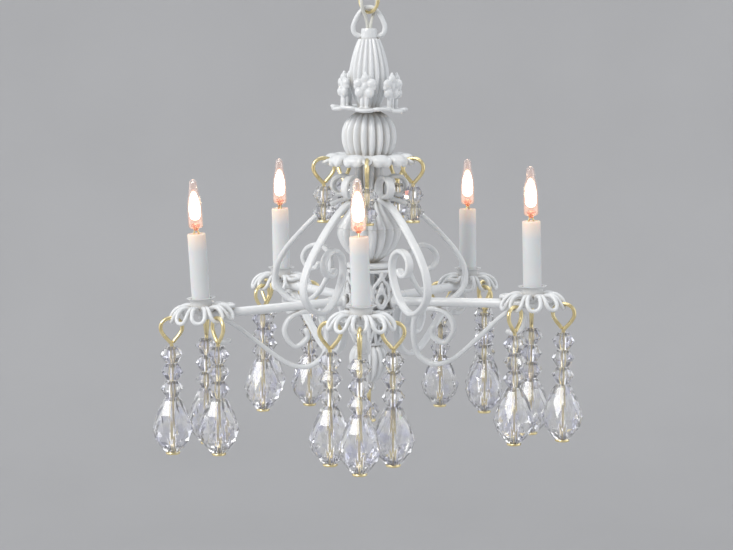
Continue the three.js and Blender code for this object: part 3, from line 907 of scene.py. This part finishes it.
def make_bail():
    """The stirrup, and the stem with its collar, bottom eye and solder."""
    enamel = finish("enamel")
    side = [(1.0, 0, 37.05), (1.5, 0, 37.12), (2.1, 0, 37.45), (2.37, 0, 38.3),
            (2.08, 0, 39.3), (1.42, 0, 40.45), (0.75, 0, 41.12)]
    line = spaced(spline(both_sides(side, (0, 0, 41.3))), 0.14)
    bail = wire([line], sizes().bail_wire / MM, enamel, sides=16)
    settle("bail_stirrup", [bail], COLUMN, "fixture", ["bail"])

    stem = turned(outline(
        [(0.0, -15.0), (0.8, -15.0)],
        [(0.8, -15.0), (0.8, 36.6)],
        [(0.8, 36.6), (1.12, 36.6)],
        [(1.12, 36.6), (1.2, 36.7), (1.22, 37.4), (1.2, 38.0), (1.12, 38.18)],
        [(1.12, 38.18), (0.95, 38.22), (0.72, 38.16)],
        [(0.72, 38.16), (0.66, 37.5)],
        [(0.66, 37.5), (0.0, 37.45)],
    ), 48, enamel)
    angles = np.linspace(0, 2 * math.pi, 25)[:-1]
    ring = np.array([(0.8 * math.cos(a), 0, -15.7 + 0.8 * math.sin(a)) for a in angles])
    hook = wire([(ring, np.ones(len(ring)))], 0.25, enamel, closed=True, sides=10)
    solder = smoothed(ellipsoids([
        ((1.2, 0, 37.05), (0.4, 0.42, 0.3)), ((-1.2, 0, 37.05), (0.4, 0.42, 0.3)),
        ((0, 0, -14.95), (0.55, 0.4, 0.25))]), enamel)
    settle("stem_and_collar", [stem, hook, solder], COLUMN, "fixture", ["stem"])


# Column

TURNINGS = {
    # node: flutes, their depth as a share of the radius, softness, runs of [radius, height]
    "top_baluster": (18, 0.15, 0.03, [
        [(0.9, 36.75), (1.3, 36.72), (1.62, 36.62)],
        [(1.62, 36.62), (2.02, 35.7), (2.5, 34.2), (2.86, 32.6), (3.02, 31.2), (2.96, 29.9),
         (2.62, 28.6), (2.1, 27.5), (1.75, 26.8), (1.7, 26.4)]]),
    "upper_ball": (18, 0.2, 0.02, [
        [(1.3, 26.1), (1.75, 25.85), (2.6, 25.35), (3.45, 24.5), (3.96, 23.45), (4.12, 22.3),
         (4.04, 21.2), (3.72, 20.2), (3.4, 19.5), (3.25, 19.1)]]),
    "neck": (10, 0.34, 0.01, [[(2.08, 18.3), (2.08, 12.9)]]),
    "vase": (18, 0.17, 0.02, [
        [(1.9, 13.15), (2.2, 12.6), (2.95, 11.3), (3.9, 10.0), (4.62, 9.0), (4.86, 8.5)],
        [(4.86, 8.5), (4.74, 8.36), (4.86, 8.22)],
        [(4.86, 8.22), (4.84, 7.5), (4.48, 6.4), (3.65, 5.05), (2.45, 3.95), (1.55, 3.4), (1.2, 3.1)]]),
    "lower_finial": (16, 0.18, 0.02, [
        [(1.9, -9.2), (2.55, -9.95), (2.98, -11.1), (2.96, -12.1), (2.55, -13.3), (1.85, -14.3),
         (1.2, -14.9), (0.95, -15.05)]]),
}


def make_turnings():
    """Baluster, ball, neck, vase and finial, threaded on the stem."""
    enamel = finish("enamel")
    for node, (flutes, depth, softness, runs) in TURNINGS.items():
        shape = fluted(threaded(*runs), flutes, depth, softness, enamel)
        settle(f"{node}_fluted", [shape], COLUMN, "fixture", [node])


PALMETTE = [
    # centre and radii of each lobe, X across the leaf and Y out from the column
    ((0, -0.06, 5.02), (0.26, 0.26, 0.44)), ((0, -0.12, 4.45), (0.6, 0.5, 0.68)),
    ((0, -0.02, 3.6), (0.95, 0.46, 0.95)), ((0, -0.14, 3.25), (0.5, 0.46, 0.7)),
    ((1.0, -0.1, 3.72), (0.72, 0.54, 0.72)), ((-1.0, -0.1, 3.72), (0.72, 0.54, 0.72)),
    ((1.28, -0.02, 3.15), (0.42, 0.42, 0.46)), ((-1.28, -0.02, 3.15), (0.42, 0.42, 0.46)),
    ((0.76, -0.16, 2.35), (0.72, 0.58, 0.78)), ((-0.76, -0.16, 2.35), (0.72, 0.58, 0.78)),
    ((0, 0.02, 2.4), (0.6, 0.4, 1.0)), ((0.33, 0, 1.0), (0.33, 0.34, 1.5)),
    ((-0.33, 0, 1.0), (0.33, 0.34, 1.5)), ((0.35, 0, 0.1), (0.46, 0.44, 0.26)),
    ((-0.35, 0, 0.1), (0.46, 0.44, 0.26)),
]
PALMETTES = 6
PLATE_WAVES = 12
CROWN_LEVEL = 26.0
CROWN_TILT = 2.3


def make_crown():
    """Wavy-edged plate, set a little crooked, with palmettes standing round it."""
    enamel = finish("enamel")
    plate = turned_mesh(threaded(
        [(0.9, 0.5), (3.4, 0.5)],
        [(3.4, 0.5), (4.6, 0.5), (5.2, 0.56), (5.6, 0.58), (5.84, 0.42), (5.84, 0.16), (5.62, -0.02),
         (5.2, 0.0), (4.4, 0.04), (3.4, 0.04)],
        [(3.4, 0.04), (0.95, 0.04)]), 192)
    for vertex in plate.vertices:
        x, y, z = vertex.co
        r, angle = math.hypot(x, y), math.atan2(y, x)
        reach = min(1.0, max(0.0, (r - 3.6) / 2.2))
        wave = math.cos(PLATE_WAVES / 2 * angle + 0.6)
        scallop = abs(wave) ** 0.45
        pull = 1 - 0.085 * reach * (1 - scallop)
        step = math.copysign(abs(wave) ** 0.5, wave)
        vertex.co = (x * pull, y * pull, z + 0.17 * reach * step)
    smoothed(plate, enamel)
    leaf = cast_together(ellipsoids(PALMETTE), 0.085, enamel, 2)
    leaf.transform(Matrix.Translation((0, -4.1, 0.4)))
    leaves = grown(leaf, "copies", enamel, copies=PALMETTES, first=-8, step=360 / PALMETTES)
    tilt = Matrix.Rotation(math.radians(CROWN_TILT), 4, "Y")
    place = COLUMN @ Matrix.Translation((0, 0, CROWN_LEVEL)) @ tilt
    settle("crown_plate_and_palmettes", [plate, leaves], place, "fixture",
           ["crown_plate"])


def petal_line(side, step=0.16):
    """Closed loop of [radius, half width, height] points and their mirror image."""
    loop = [*side, *[(r, -half, z) for r, half, z in reversed(side)]]
    return spaced(spline(loop, closed=True), step, closed=True)


def slimmed(line, radius, slim):
    """Thins the wire from radius outwards, where an eye hangs on it."""
    points, taper = line
    share = np.clip((points[:, 0] - radius) / 0.6, 0, 1)
    return points, taper * (1 - share * (1 - slim))


LOBE = [
    # centre and radii of each swelling, X out from the column
    ((4.5, 0, 18.95), (1.2, 0.95, 0.5)), ((5.3, 0, 19.12), (1.25, 1.42, 0.56)),
    ((6.15, 0, 18.6), (0.66, 1.32, 0.66)), ((6.3, 0.62, 18.28), (0.46, 0.66, 0.52)),
    ((6.3, -0.62, 18.28), (0.46, 0.66, 0.52)), ((5.95, 1.08, 18.62), (0.66, 0.48, 0.66)),
    ((5.95, -1.08, 18.62), (0.66, 0.48, 0.66)), ((5.2, 1.3, 18.75), (0.8, 0.34, 0.55)),
    ((5.2, -1.3, 18.75), (0.8, 0.34, 0.55)),
]
LOBE_SPREAD = 20.5
HANGER = [
    # distance out, half width and height of the wire that carries a small crystal
    (4.2, 0.28, 18.62), (5.2, 0.52, 18.8), (6.2, 0.5, 18.7), (6.85, 0.3, 18.48), (7.0, 0.1, 18.41),
]


def make_canopy():
    """Dome with a ring of plump drooping lobes, and a wire hanger for each crystal."""
    enamel = finish("enamel")
    dome = turned(threaded(
        [(1.5, 19.5), (3.2, 19.45), (3.9, 19.2), (4.4, 18.95), (4.7, 18.7), (4.6, 18.4), (4.1, 18.2),
         (3.0, 18.05), (1.8, 17.95)]), 80, enamel)
    lobe = cast_together(ellipsoids(LOBE), 0.1, enamel, 3)
    lobes = [grown(lobe, "copies", enamel, copies=BAYS, first=-90 + turn, step=BAY_ANGLE)
             for turn in (LOBE_SPREAD, -LOBE_SPREAD)]
    hangers = wire([slimmed(petal_line(HANGER), 6.5, 0.9)], 0.3, enamel, closed=True,
                   copies=BAYS, first=-90, step=BAY_ANGLE)
    settle("upper_canopy_lobes", [dome, *lobes, hangers], COLUMN, "fixture",
           ["upper_canopy"])


def wrapped(line, radius_at):
    """Bends a drawing of [across, height] points round the column."""
    points, taper = line
    bent = []
    for across, z in points:
        r = radius_at(z)
        bent.append((r * math.cos(across / r), r * math.sin(across / r), z))
    return np.array(bent), taper


def mirrored_loop(side, step=0.16):
    """Closed loop of [across, height] points and their mirror image."""
    loop = [*side, *[(-u, z) for u, z in reversed(side) if abs(u) > ON_AXIS]]
    return spaced(spline(loop, closed=True), step, closed=True)


CAGE_LOOPS = 8
CAGE_RINGS = [
    # segments and profile of the flange, the hub and the foot, each bored for the stem
    (72, [(1.5, 3.25), (3.1, 3.2), (3.42, 3.05), (3.55, 2.78), (3.45, 2.45), (3.1, 2.3), (1.5, 2.25)]),
    (72, [(1.2, -1.95), (2.9, -1.95), (3.2, -2.1), (3.28, -2.6), (3.28, -3.1), (3.1, -3.5),
          (1.2, -3.6)]),
    (60, [(1.1, -8.75), (1.9, -8.72), (2.2, -8.85), (2.3, -9.05), (2.15, -9.3), (1.1, -9.35)]),
]
CAGE_HOOPS = [
    [(3.25, -4.0), (3.5, -3.72), (3.78, -3.9), (3.84, -4.1), (3.6, -4.36), (3.3, -4.3)],
    [(3.3, 2.0), (3.5, 1.78), (3.78, 1.85), (3.84, 2.05), (3.7, 2.3), (3.4, 2.32)],
]
DRUM_LOOP = [
    (0.0, 1.2), (0.45, 0.6), (1.05, 0.0), (1.36, -0.8), (1.34, -1.7), (0.9, -2.6), (0.0, -3.4)]
DRUM_RING = [(0.0, -1.15), (0.55, -1.4), (0.76, -2.05), (0.5, -2.75), (0.0, -3.1)]
DRUM_LEAF = [
    ((3.66, 0, -0.72), (0.32, 0.56, 0.6)), ((3.66, 0, -0.1), (0.3, 0.36, 0.66)),
    ((3.64, 0.34, -1.0), (0.3, 0.38, 0.36)), ((3.64, -0.34, -1.0), (0.3, 0.38, 0.36)),
]
BASKET_LOOP = [(0.0, -4.0), (0.8, -4.5), (1.15, -5.5), (0.95, -6.7), (0.5, -7.9), (0.0, -8.9)]
BASKET_HEART = [(0.0, -5.0), (0.42, -5.2), (0.5, -5.9), (0.25, -6.7), (0.0, -7.2)]


def drum_radius(z):
    return HUB_RADIUS + 0.08


def basket_radius(z):
    heights, radii = [-9.2, -8.4, -7.0, -5.6, -4.2, -3.4], [1.95, 2.3, 2.95, 3.4, 3.55, 3.5]
    return float(np.interp(z, heights, radii))


def make_cage():
    """Filigree drum between flange and hub, and a basket of pointed loops below."""
    enamel = finish("enamel")
    radius = sizes().cage_wire / MM
    drum = dict(copies=CAGE_LOOPS, first=-57, step=360 / CAGE_LOOPS)
    basket = dict(copies=2 * BAYS, first=-90, step=PETAL_ANGLE)
    parts = [turned(threaded(profile), segments, enamel) for segments, profile in CAGE_RINGS]
    parts += [turned(profile, 72, enamel) for profile in CAGE_HOOPS]
    for side, scale, radius_at, repeats in (
            (DRUM_LOOP, 1.0, drum_radius, drum), (DRUM_RING, 0.9, drum_radius, drum),
            (BASKET_LOOP, 0.95, basket_radius, basket), (BASKET_HEART, 0.7, basket_radius, basket)):
        line = wrapped(mirrored_loop(side), radius_at)
        parts.append(wire([line], radius * scale, enamel, closed=True, **repeats))
    stalk = wrapped(spaced([(0.0, 0.7), (0.0, 2.0)], 0.3), drum_radius)
    parts.append(wire([stalk], radius * 1.05, enamel, **drum))
    leaf = cast_together(ellipsoids(DRUM_LEAF), 0.09, enamel, 2)
    parts.append(grown(leaf, "copies", enamel, **drum))
    settle("hub_cage_filigree", parts, COLUMN, "fixture", ["hub_cage"])


# Arms and what they carry

def arm_placement(name):
    """Where an arm, its pan and its candle stand, with X out along the arm.

    Its droop and the candle's lean come from the axis that its bulb slides on.
    """
    turn = math.radians(ARM_AZIMUTHS[name] - 90)
    axis = Matrix.Rotation(-turn, 3, "Z") @ Vector(JOINTS[f"unplug_bulb_{name}"]["axis"])
    lean, droop = -math.asin(axis.y), math.atan2(axis.x, axis.z)
    root = Vector((HUB_RADIUS, 0, ARM_LEVEL))
    arm = COLUMN @ Matrix.Rotation(turn, 4, "Z") @ Matrix.Translation(root)
    arm = arm @ Matrix.Rotation(droop, 4, "Y") @ Matrix.Translation(-root)
    seat = arm @ Matrix.Translation((ARM_REACH, 0, 0))
    return arm, seat, seat @ Matrix.Rotation(lean, 4, "X")


def curl(centre, inner, outer, start, sweep, count):
    """Points of a scroll's eye, from its inner end outwards."""
    points = []
    for i in range(count + 1):
        radius = outer - (outer - inner) * (1 - i / count) ** 3
        angle = math.radians(start + sweep * i / count)
        points.append((centre[0] + radius * math.cos(angle), centre[1] + radius * math.sin(angle)))
    return points


BETWEEN_ARMS = [
    *curl((4.3, 14.4), 0.9, 1.87, -110, 380, 12),
    (6.3, 11.6), (8.8, 9.7), (11.4, 7.2), (13.6, 4.7), (15.1, 2.0), (15.2, -0.6), (13.4, -2.7),
    (11.0, -3.4), (8.9, -2.4), (7.2, -0.2), (6.2, 2.4), (6.6, 4.6), (8.2, 5.6), (10.0, 5.0),
    (10.7, 3.6), (10.0, 2.2), (8.7, 2.0), (8.0, 3.0),
]
UNDER_ARM = [
    (21.5, -6.6), (22.7, -7.0), (24.0, -6.3), (24.4, -5.0), (23.7, -3.9), (22.5, -3.56), (20.9, -4.5),
    (17.2, -7.8), (13.2, -11.1), (11.0, -11.9), (9.5, -11.8), (7.7, -10.6), (7.15, -9.1), (7.0, -6.6),
    (7.5, -4.7), (8.6, -3.8), (10.2, -3.56), (12.4, -4.3), (13.4, -6.4), (11.9, -8.7), (9.9, -7.5),
    (10.2, -6.1),
]


def make_scrolls():
    """Flat scrolls standing halfway between the arms."""
    shape = flat_wire(BETWEEN_ARMS, finish("enamel"))
    for i in range(BAYS):
        turn = math.radians((i + 0.5) * BAY_ANGLE - 90)
        node = f"scroll_{i + 1}"
        settle(f"{node}_strip", [shape], COLUMN @ Matrix.Rotation(turn, 4, "Z"), "fixture",
               [node])


def make_arms():
    """Each arm tube with the flat scroll under it and the solder that joins them."""
    enamel = finish("enamel")
    radius = sizes().arm_radius / MM
    line = spaced([(3.2, 0, ARM_LEVEL), (ARM_REACH + 0.7, 0, ARM_LEVEL)], 1.5, rounding=0.5)
    tube = wire([line], radius, enamel, sides=24)
    strip = flat_wire(UNDER_ARM, enamel)
    solder = smoothed(ellipsoids([
        ((22.5, 0, -3.35), (0.9, 0.62, 0.3)), ((10.2, 0, -3.35), (0.95, 0.62, 0.3)),
        ((3.9, 0, ARM_LEVEL), (0.6, 0.98, 0.98)), ((ARM_REACH, 0, -2.1), (1.25, 1.25, 0.42)),
    ]), enamel)
    for name in ARM_AZIMUTHS:
        arm, _, _ = arm_placement(name)
        settle(f"arm_{name}_tube_and_scroll", [tube, strip, solder], arm, "fixture",
               [f"arm_{name}"])


DROOPING_PETAL = [
    # distance out, half width and height
    (1.4, 0.16, -1.8), (1.85, 0.36, -1.46), (2.5, 0.58, -1.24), (3.2, 0.78, -1.26), (3.82, 0.92, -1.62),
    (4.28, 0.95, -2.15), (4.54, 0.84, -2.66), (4.66, 0.5, -3.04), (4.68, 0.16, -3.15),
]


def make_pans():
    """A candle cup with nine drooping petal loops and a flat one over the arm."""
    enamel = finish("enamel")
    radius = sizes().petal_wire / MM
    cup = turned(outline(
        [(0.0, -2.1), (1.0, -2.1), (1.4, -1.98), (1.54, -1.6), (1.56, -0.8), (1.64, -0.4), (1.88, -0.14),
         (2.14, 0.0), (2.14, 0.08), (1.88, 0.05), (1.6, -0.06), (1.5, -0.3)],
        [(1.5, -0.3), (1.46, -0.55)], [(1.46, -0.55), (0.0, -0.55)]), 56, enamel)
    drooping = wire([slimmed(petal_line(DROOPING_PETAL), 4.2, 0.88)], radius, enamel, closed=True,
                    copies=9, first=180 + PETAL_ANGLE, step=PETAL_ANGLE)
    over_arm = petal_line([(r, half, max(z, -1.5)) for r, half, z in DROOPING_PETAL])
    flat = wire([over_arm], radius, enamel, closed=True, first=180)
    for name in ARM_AZIMUTHS:
        _, seat, _ = arm_placement(name)
        settle(f"drip_pan_{name}_petals", [cup, drooping, flat], seat, "fixture",
               [f"drip_pan_{name}"])


def make_candles():
    """Hollow tubes with a rounded rim."""
    plastic = finish("candle")
    tube = turned(outline(
        [(0.95, -0.42), (1.33, -0.42)],
        [(1.33, -0.42), (1.35, 0.4), (1.345, 9.3)],
        [(1.345, 9.3), (1.32, 9.5), (1.22, 9.6), (1.08, 9.58)],
        [(1.08, 9.58), (0.96, 9.45)], step=0.4), 56, plastic)
    for name in ARM_AZIMUTHS:
        _, _, stand = arm_placement(name)
        settle(f"candle_{name}_tube", [tube], stand, "fixture", [f"candle_{name}"],
               along=(-0.42, 9.6))


BULB_WALL = [
    [(0.0, 17.58), (0.3, 17.52), (0.52, 17.25), (0.58, 16.8), (0.62, 16.2), (0.74, 15.5),
     (0.92, 14.7), (1.03, 13.8), (1.06, 12.8), (1.06, 11.6), (1.05, 10.95), (0.98, 10.55),
     (0.78, 10.38), (0.42, 10.34)],
    [(0.42, 10.34), (0.36, 10.44)],
    [(0.36, 10.44), (0.72, 10.49), (0.88, 10.64), (0.95, 11.0), (0.96, 11.6), (0.96, 12.8),
     (0.93, 13.8), (0.82, 14.7), (0.64, 15.5), (0.51, 16.2), (0.47, 16.8), (0.38, 17.12),
     (0.0, 17.3)],
]
LIT_BODY = [
    (0.0, 11.55), (0.45, 11.68), (0.74, 12.1), (0.82, 12.8), (0.8, 13.6), (0.66, 14.5),
    (0.44, 15.3), (0.2, 15.8), (0.0, 15.9)]
SEAL_BEAD = [
    (0.0, 10.0), (0.3, 10.06), (0.5, 10.5), (0.66, 10.72), (0.62, 10.95), (0.3, 11.1), (0.0, 11.12)]
BULB_LEG = [(0.16, 10.3), (0.2, 10.05), (0.4, 9.6), (0.45, 9.2), (0.45, 7.5), (0.45, 5.45)]
BULB_WIRE = 0.13


def make_bulbs():
    """Glass with an open foot sealed by a red bead, a lit filament, and two wires."""
    envelope = turned(outline(*BULB_WALL), 40, finish("bulb_glass"))
    lit = turned(outline(LIT_BODY), 28, finish("filament"))
    seal = turned(outline(SEAL_BEAD, step=0.12), 28, finish("seal"))
    legs = []
    for side in (-1, 1):
        points = [(side * x, 0, z) for x, z in BULB_LEG]
        legs.append(spaced(spline(points), 0.25, rounding=0.1))
    pins = wire(legs, BULB_WIRE, finish("brass"), sides=8)
    for name in ARM_AZIMUTHS:
        _, _, stand = arm_placement(name)
        node = f"bulb_{name}"
        settle(f"{node}_glass", [envelope], stand, node, [node], along=(10.4, 17.6))
        settle(f"{node}_filament", [lit], stand, node, [node], along=(11.55, 15.9))
        settle(f"{node}_seal", [seal], stand, node, [node])
        settle(f"{node}_pins", [pins], stand, node, [node])


# Crystals

EYE_TOP = 0.61
EYE_SIDE = [(0.05, -3.8), (0.5, -3.28), (1.18, -2.5), (1.6, -1.66), (1.48, -0.8), (0.88, -0.2), (0.0, 0.0)]
EYE_DROP = 3.8
EYE_WIDTH = 3.25
CENTRE_EYE_DROP = 2.0
CENTRE_EYE_WIDTH = 1.6
FIRST_BEAD = 0.35
BICONE_RADIUS = 1.7
BICONE_HEIGHT = 2.55
DROP_LENGTH = 8.2
BEAD_BORE = 0.37
BEAD_GAP = 0.03
# radius, height and whether the ring is turned half a facet
BICONE = [
    (0.88, -BEAD_GAP, 0), (BICONE_RADIUS, -BICONE_HEIGHT / 2 + 0.03, 0),
    (BICONE_RADIUS, -BICONE_HEIGHT / 2 - 0.03, 0), (0.88, BEAD_GAP - BICONE_HEIGHT, 0),
]
PEAR_DROP = [
    (0.98, -BEAD_GAP, 0), (1.4, -0.4, 0), (2.38, -2.45, 0), (3.05, -4.8, 1), (2.66, -6.3, 0),
    (1.62, -7.7, 1), (0.98, -DROP_LENGTH, 1),
]


def string_parts(bicones, has_drop, eye_scale=1.0, eye_width=1.0):
    """Glass and brass of one string, hung from the origin with its eye in the XZ plane."""
    brass, crystal = finish("brass"), finish("crystal")
    first = EYE_TOP - EYE_DROP * eye_scale - FIRST_BEAD
    sides = sizes().bicone_facets
    bicone = facets(BICONE, sides, BEAD_BORE, crystal)
    bicone.transform(Matrix.Translation((0, 0, first)))
    glass = [grown(bicone, "copies", crystal, copies=bicones, step=180 / sides,
                   rise=-BICONE_HEIGHT)]
    level = first - bicones * BICONE_HEIGHT
    if has_drop:
        drop = facets(PEAR_DROP, sizes().drop_facets, BEAD_BORE, crystal)
        drop.transform(Matrix.Translation((0, 0, level)))
        glass.append(drop)
        level -= DROP_LENGTH

    side = [(x * eye_width, 0, EYE_TOP + z * eye_scale) for x, z in EYE_SIDE]
    other = [(-x, 0, z) for x, _, z in reversed(side[1:-1])]
    tail = (-0.2 * eye_width, 0, EYE_TOP - 3.68 * eye_scale)
    points = [(0, 0, level - 0.15), (0, 0, level + 1.5), (0, 0, first), *side, *other, tail]
    pin = wire([spaced(spline(points), 0.2, rounding=0.12)], sizes().pin_radius / MM, brass, sides=12)
    head = turned(outline(
        [(0.0, level - 0.4), (0.8, level - 0.4)],
        [(0.8, level - 0.4), (1.0, level - 0.34), (1.06, level - 0.2), (1.0, level - 0.05)],
        [(1.0, level - 0.05), (0.85, level - 0.01)],
        [(0.85, level - 0.01), (0.0, level - 0.01)], step=0.08), 28, brass)
    return glass, [pin, head]


def make_strings():
    """Large strings on the pans, small ones on the canopy, and one under the finial."""
    kinds = {
        "crystal_": string_parts(3, True),
        "small_crystal_": string_parts(2, False),
        "centre_crystal": string_parts(1, False, CENTRE_EYE_DROP / EYE_DROP, CENTRE_EYE_WIDTH / EYE_WIDTH),
    }
    for node in frame["nodes"]:
        kind = next((start for start in kinds if node.startswith(start)), None)
        if kind is None:
            continue
        joint = JOINTS[f"swing_{node}"]
        x, y, z = (value / MM for value in joint["pos_m"])
        turn = math.atan2(joint["axis"][0], -joint["axis"][1])
        place = Matrix.Translation((x, y, z)) @ Matrix.Rotation(turn, 4, "Z")
        glass, brass = kinds[kind]
        settle(f"{node}_beads", glass, place, node, [node], faceted=True)
        settle(f"{node}_pin", brass, place, node, [node])


# Add-on

class CHANDELIER_OT_stage(bpy.types.Operator):
    """Sweep, softboxes and camera"""
    bl_idname = "chandelier.stage"
    bl_label = "Set the Stage"

    def execute(self, context):
        make_stage()
        return {"FINISHED"}


class CHANDELIER_OT_rose(bpy.types.Operator):
    """Turned rose with its fixed loop"""
    bl_idname = "chandelier.rose"
    bl_label = "Ceiling Rose"

    def execute(self, context):
        make_rose()
        return {"FINISHED"}


class CHANDELIER_OT_links(bpy.types.Operator):
    """Two brass links"""
    bl_idname = "chandelier.links"
    bl_label = "Chain Links"

    def execute(self, context):
        make_links()
        return {"FINISHED"}


class CHANDELIER_OT_leads(bpy.types.Operator):
    """Two insulated leads through the chain"""
    bl_idname = "chandelier.leads"
    bl_label = "Leads"

    def execute(self, context):
        make_leads()
        return {"FINISHED"}


class CHANDELIER_OT_bail(bpy.types.Operator):
    """Stirrup and the stem with its collar"""
    bl_idname = "chandelier.bail"
    bl_label = "Bail and Stem"

    def execute(self, context):
        make_bail()
        return {"FINISHED"}


class CHANDELIER_OT_turnings(bpy.types.Operator):
    """The five fluted turnings on the stem"""
    bl_idname = "chandelier.turnings"
    bl_label = "Turned Pieces"

    def execute(self, context):
        make_turnings()
        return {"FINISHED"}


class CHANDELIER_OT_crown(bpy.types.Operator):
    """Scalloped plate and palmettes"""
    bl_idname = "chandelier.crown"
    bl_label = "Crown"

    def execute(self, context):
        make_crown()
        return {"FINISHED"}


class CHANDELIER_OT_canopy(bpy.types.Operator):
    """Dome and its ring of lobes"""
    bl_idname = "chandelier.canopy"
    bl_label = "Canopy"

    def execute(self, context):
        make_canopy()
        return {"FINISHED"}


class CHANDELIER_OT_cage(bpy.types.Operator):
    """Filigree drum and basket"""
    bl_idname = "chandelier.cage"
    bl_label = "Hub Cage"

    def execute(self, context):
        make_cage()
        return {"FINISHED"}


class CHANDELIER_OT_scrolls(bpy.types.Operator):
    """Five flat scrolls between the arms"""
    bl_idname = "chandelier.scrolls"
    bl_label = "Scrolls"

    def execute(self, context):
        make_scrolls()
        return {"FINISHED"}


class CHANDELIER_OT_arms(bpy.types.Operator):
    """Five arm tubes with the scrolls under them"""
    bl_idname = "chandelier.arms"
    bl_label = "Arms"

    def execute(self, context):
        make_arms()
        return {"FINISHED"}


class CHANDELIER_OT_pans(bpy.types.Operator):
    """Candle cups with petal loops"""
    bl_idname = "chandelier.pans"
    bl_label = "Drip Pans"

    def execute(self, context):
        make_pans()
        return {"FINISHED"}


class CHANDELIER_OT_candles(bpy.types.Operator):
    """Five plastic candle tubes"""
    bl_idname = "chandelier.candles"
    bl_label = "Candles"

    def execute(self, context):
        make_candles()
        return {"FINISHED"}


class CHANDELIER_OT_bulbs(bpy.types.Operator):
    """Five lit bulbs on their pins"""
    bl_idname = "chandelier.bulbs"
    bl_label = "Bulbs"

    def execute(self, context):
        make_bulbs()
        return {"FINISHED"}


class CHANDELIER_OT_strings(bpy.types.Operator):
    """Beads on brass pins"""
    bl_idname = "chandelier.strings"
    bl_label = "Crystal Strings"

    def execute(self, context):
        make_strings()
        return {"FINISHED"}


OPERATORS = [
    CHANDELIER_OT_stage,
    CHANDELIER_OT_rose,
    CHANDELIER_OT_links,
    CHANDELIER_OT_leads,
    CHANDELIER_OT_bail,
    CHANDELIER_OT_turnings,
    CHANDELIER_OT_crown,
    CHANDELIER_OT_canopy,
    CHANDELIER_OT_cage,
    CHANDELIER_OT_scrolls,
    CHANDELIER_OT_arms,
    CHANDELIER_OT_pans,
    CHANDELIER_OT_candles,
    CHANDELIER_OT_bulbs,
    CHANDELIER_OT_strings,
]


class CHANDELIER_PT_panel(bpy.types.Panel):
    bl_label = "Miniature Chandelier"
    bl_space_type = "VIEW_3D"
    bl_region_type = "UI"
    bl_category = "Chandelier"

    def draw(self, context):
        for group in (context.scene.chandelier_sizes, context.scene.chandelier_colours):
            for name in group.__annotations__:
                self.layout.prop(group, name)
        for operator in OPERATORS:
            self.layout.operator(operator.bl_idname)


CLASSES = [FixtureSizes, FixtureColours, *OPERATORS, CHANDELIER_PT_panel]


def register():
    for cls in CLASSES:
        bpy.utils.register_class(cls)
    bpy.types.Scene.chandelier_sizes = PointerProperty(type=FixtureSizes)
    bpy.types.Scene.chandelier_colours = PointerProperty(type=FixtureColours)


def unregister():
    del bpy.types.Scene.chandelier_sizes
    del bpy.types.Scene.chandelier_colours
    for cls in reversed(CLASSES):
        bpy.utils.unregister_class(cls)


def main():
    register()
    for operator in OPERATORS:
        getattr(bpy.ops.chandelier, operator.bl_idname.split(".")[1])()
    bpy.context.view_layer.update()


if __name__ == "__main__":
    main()
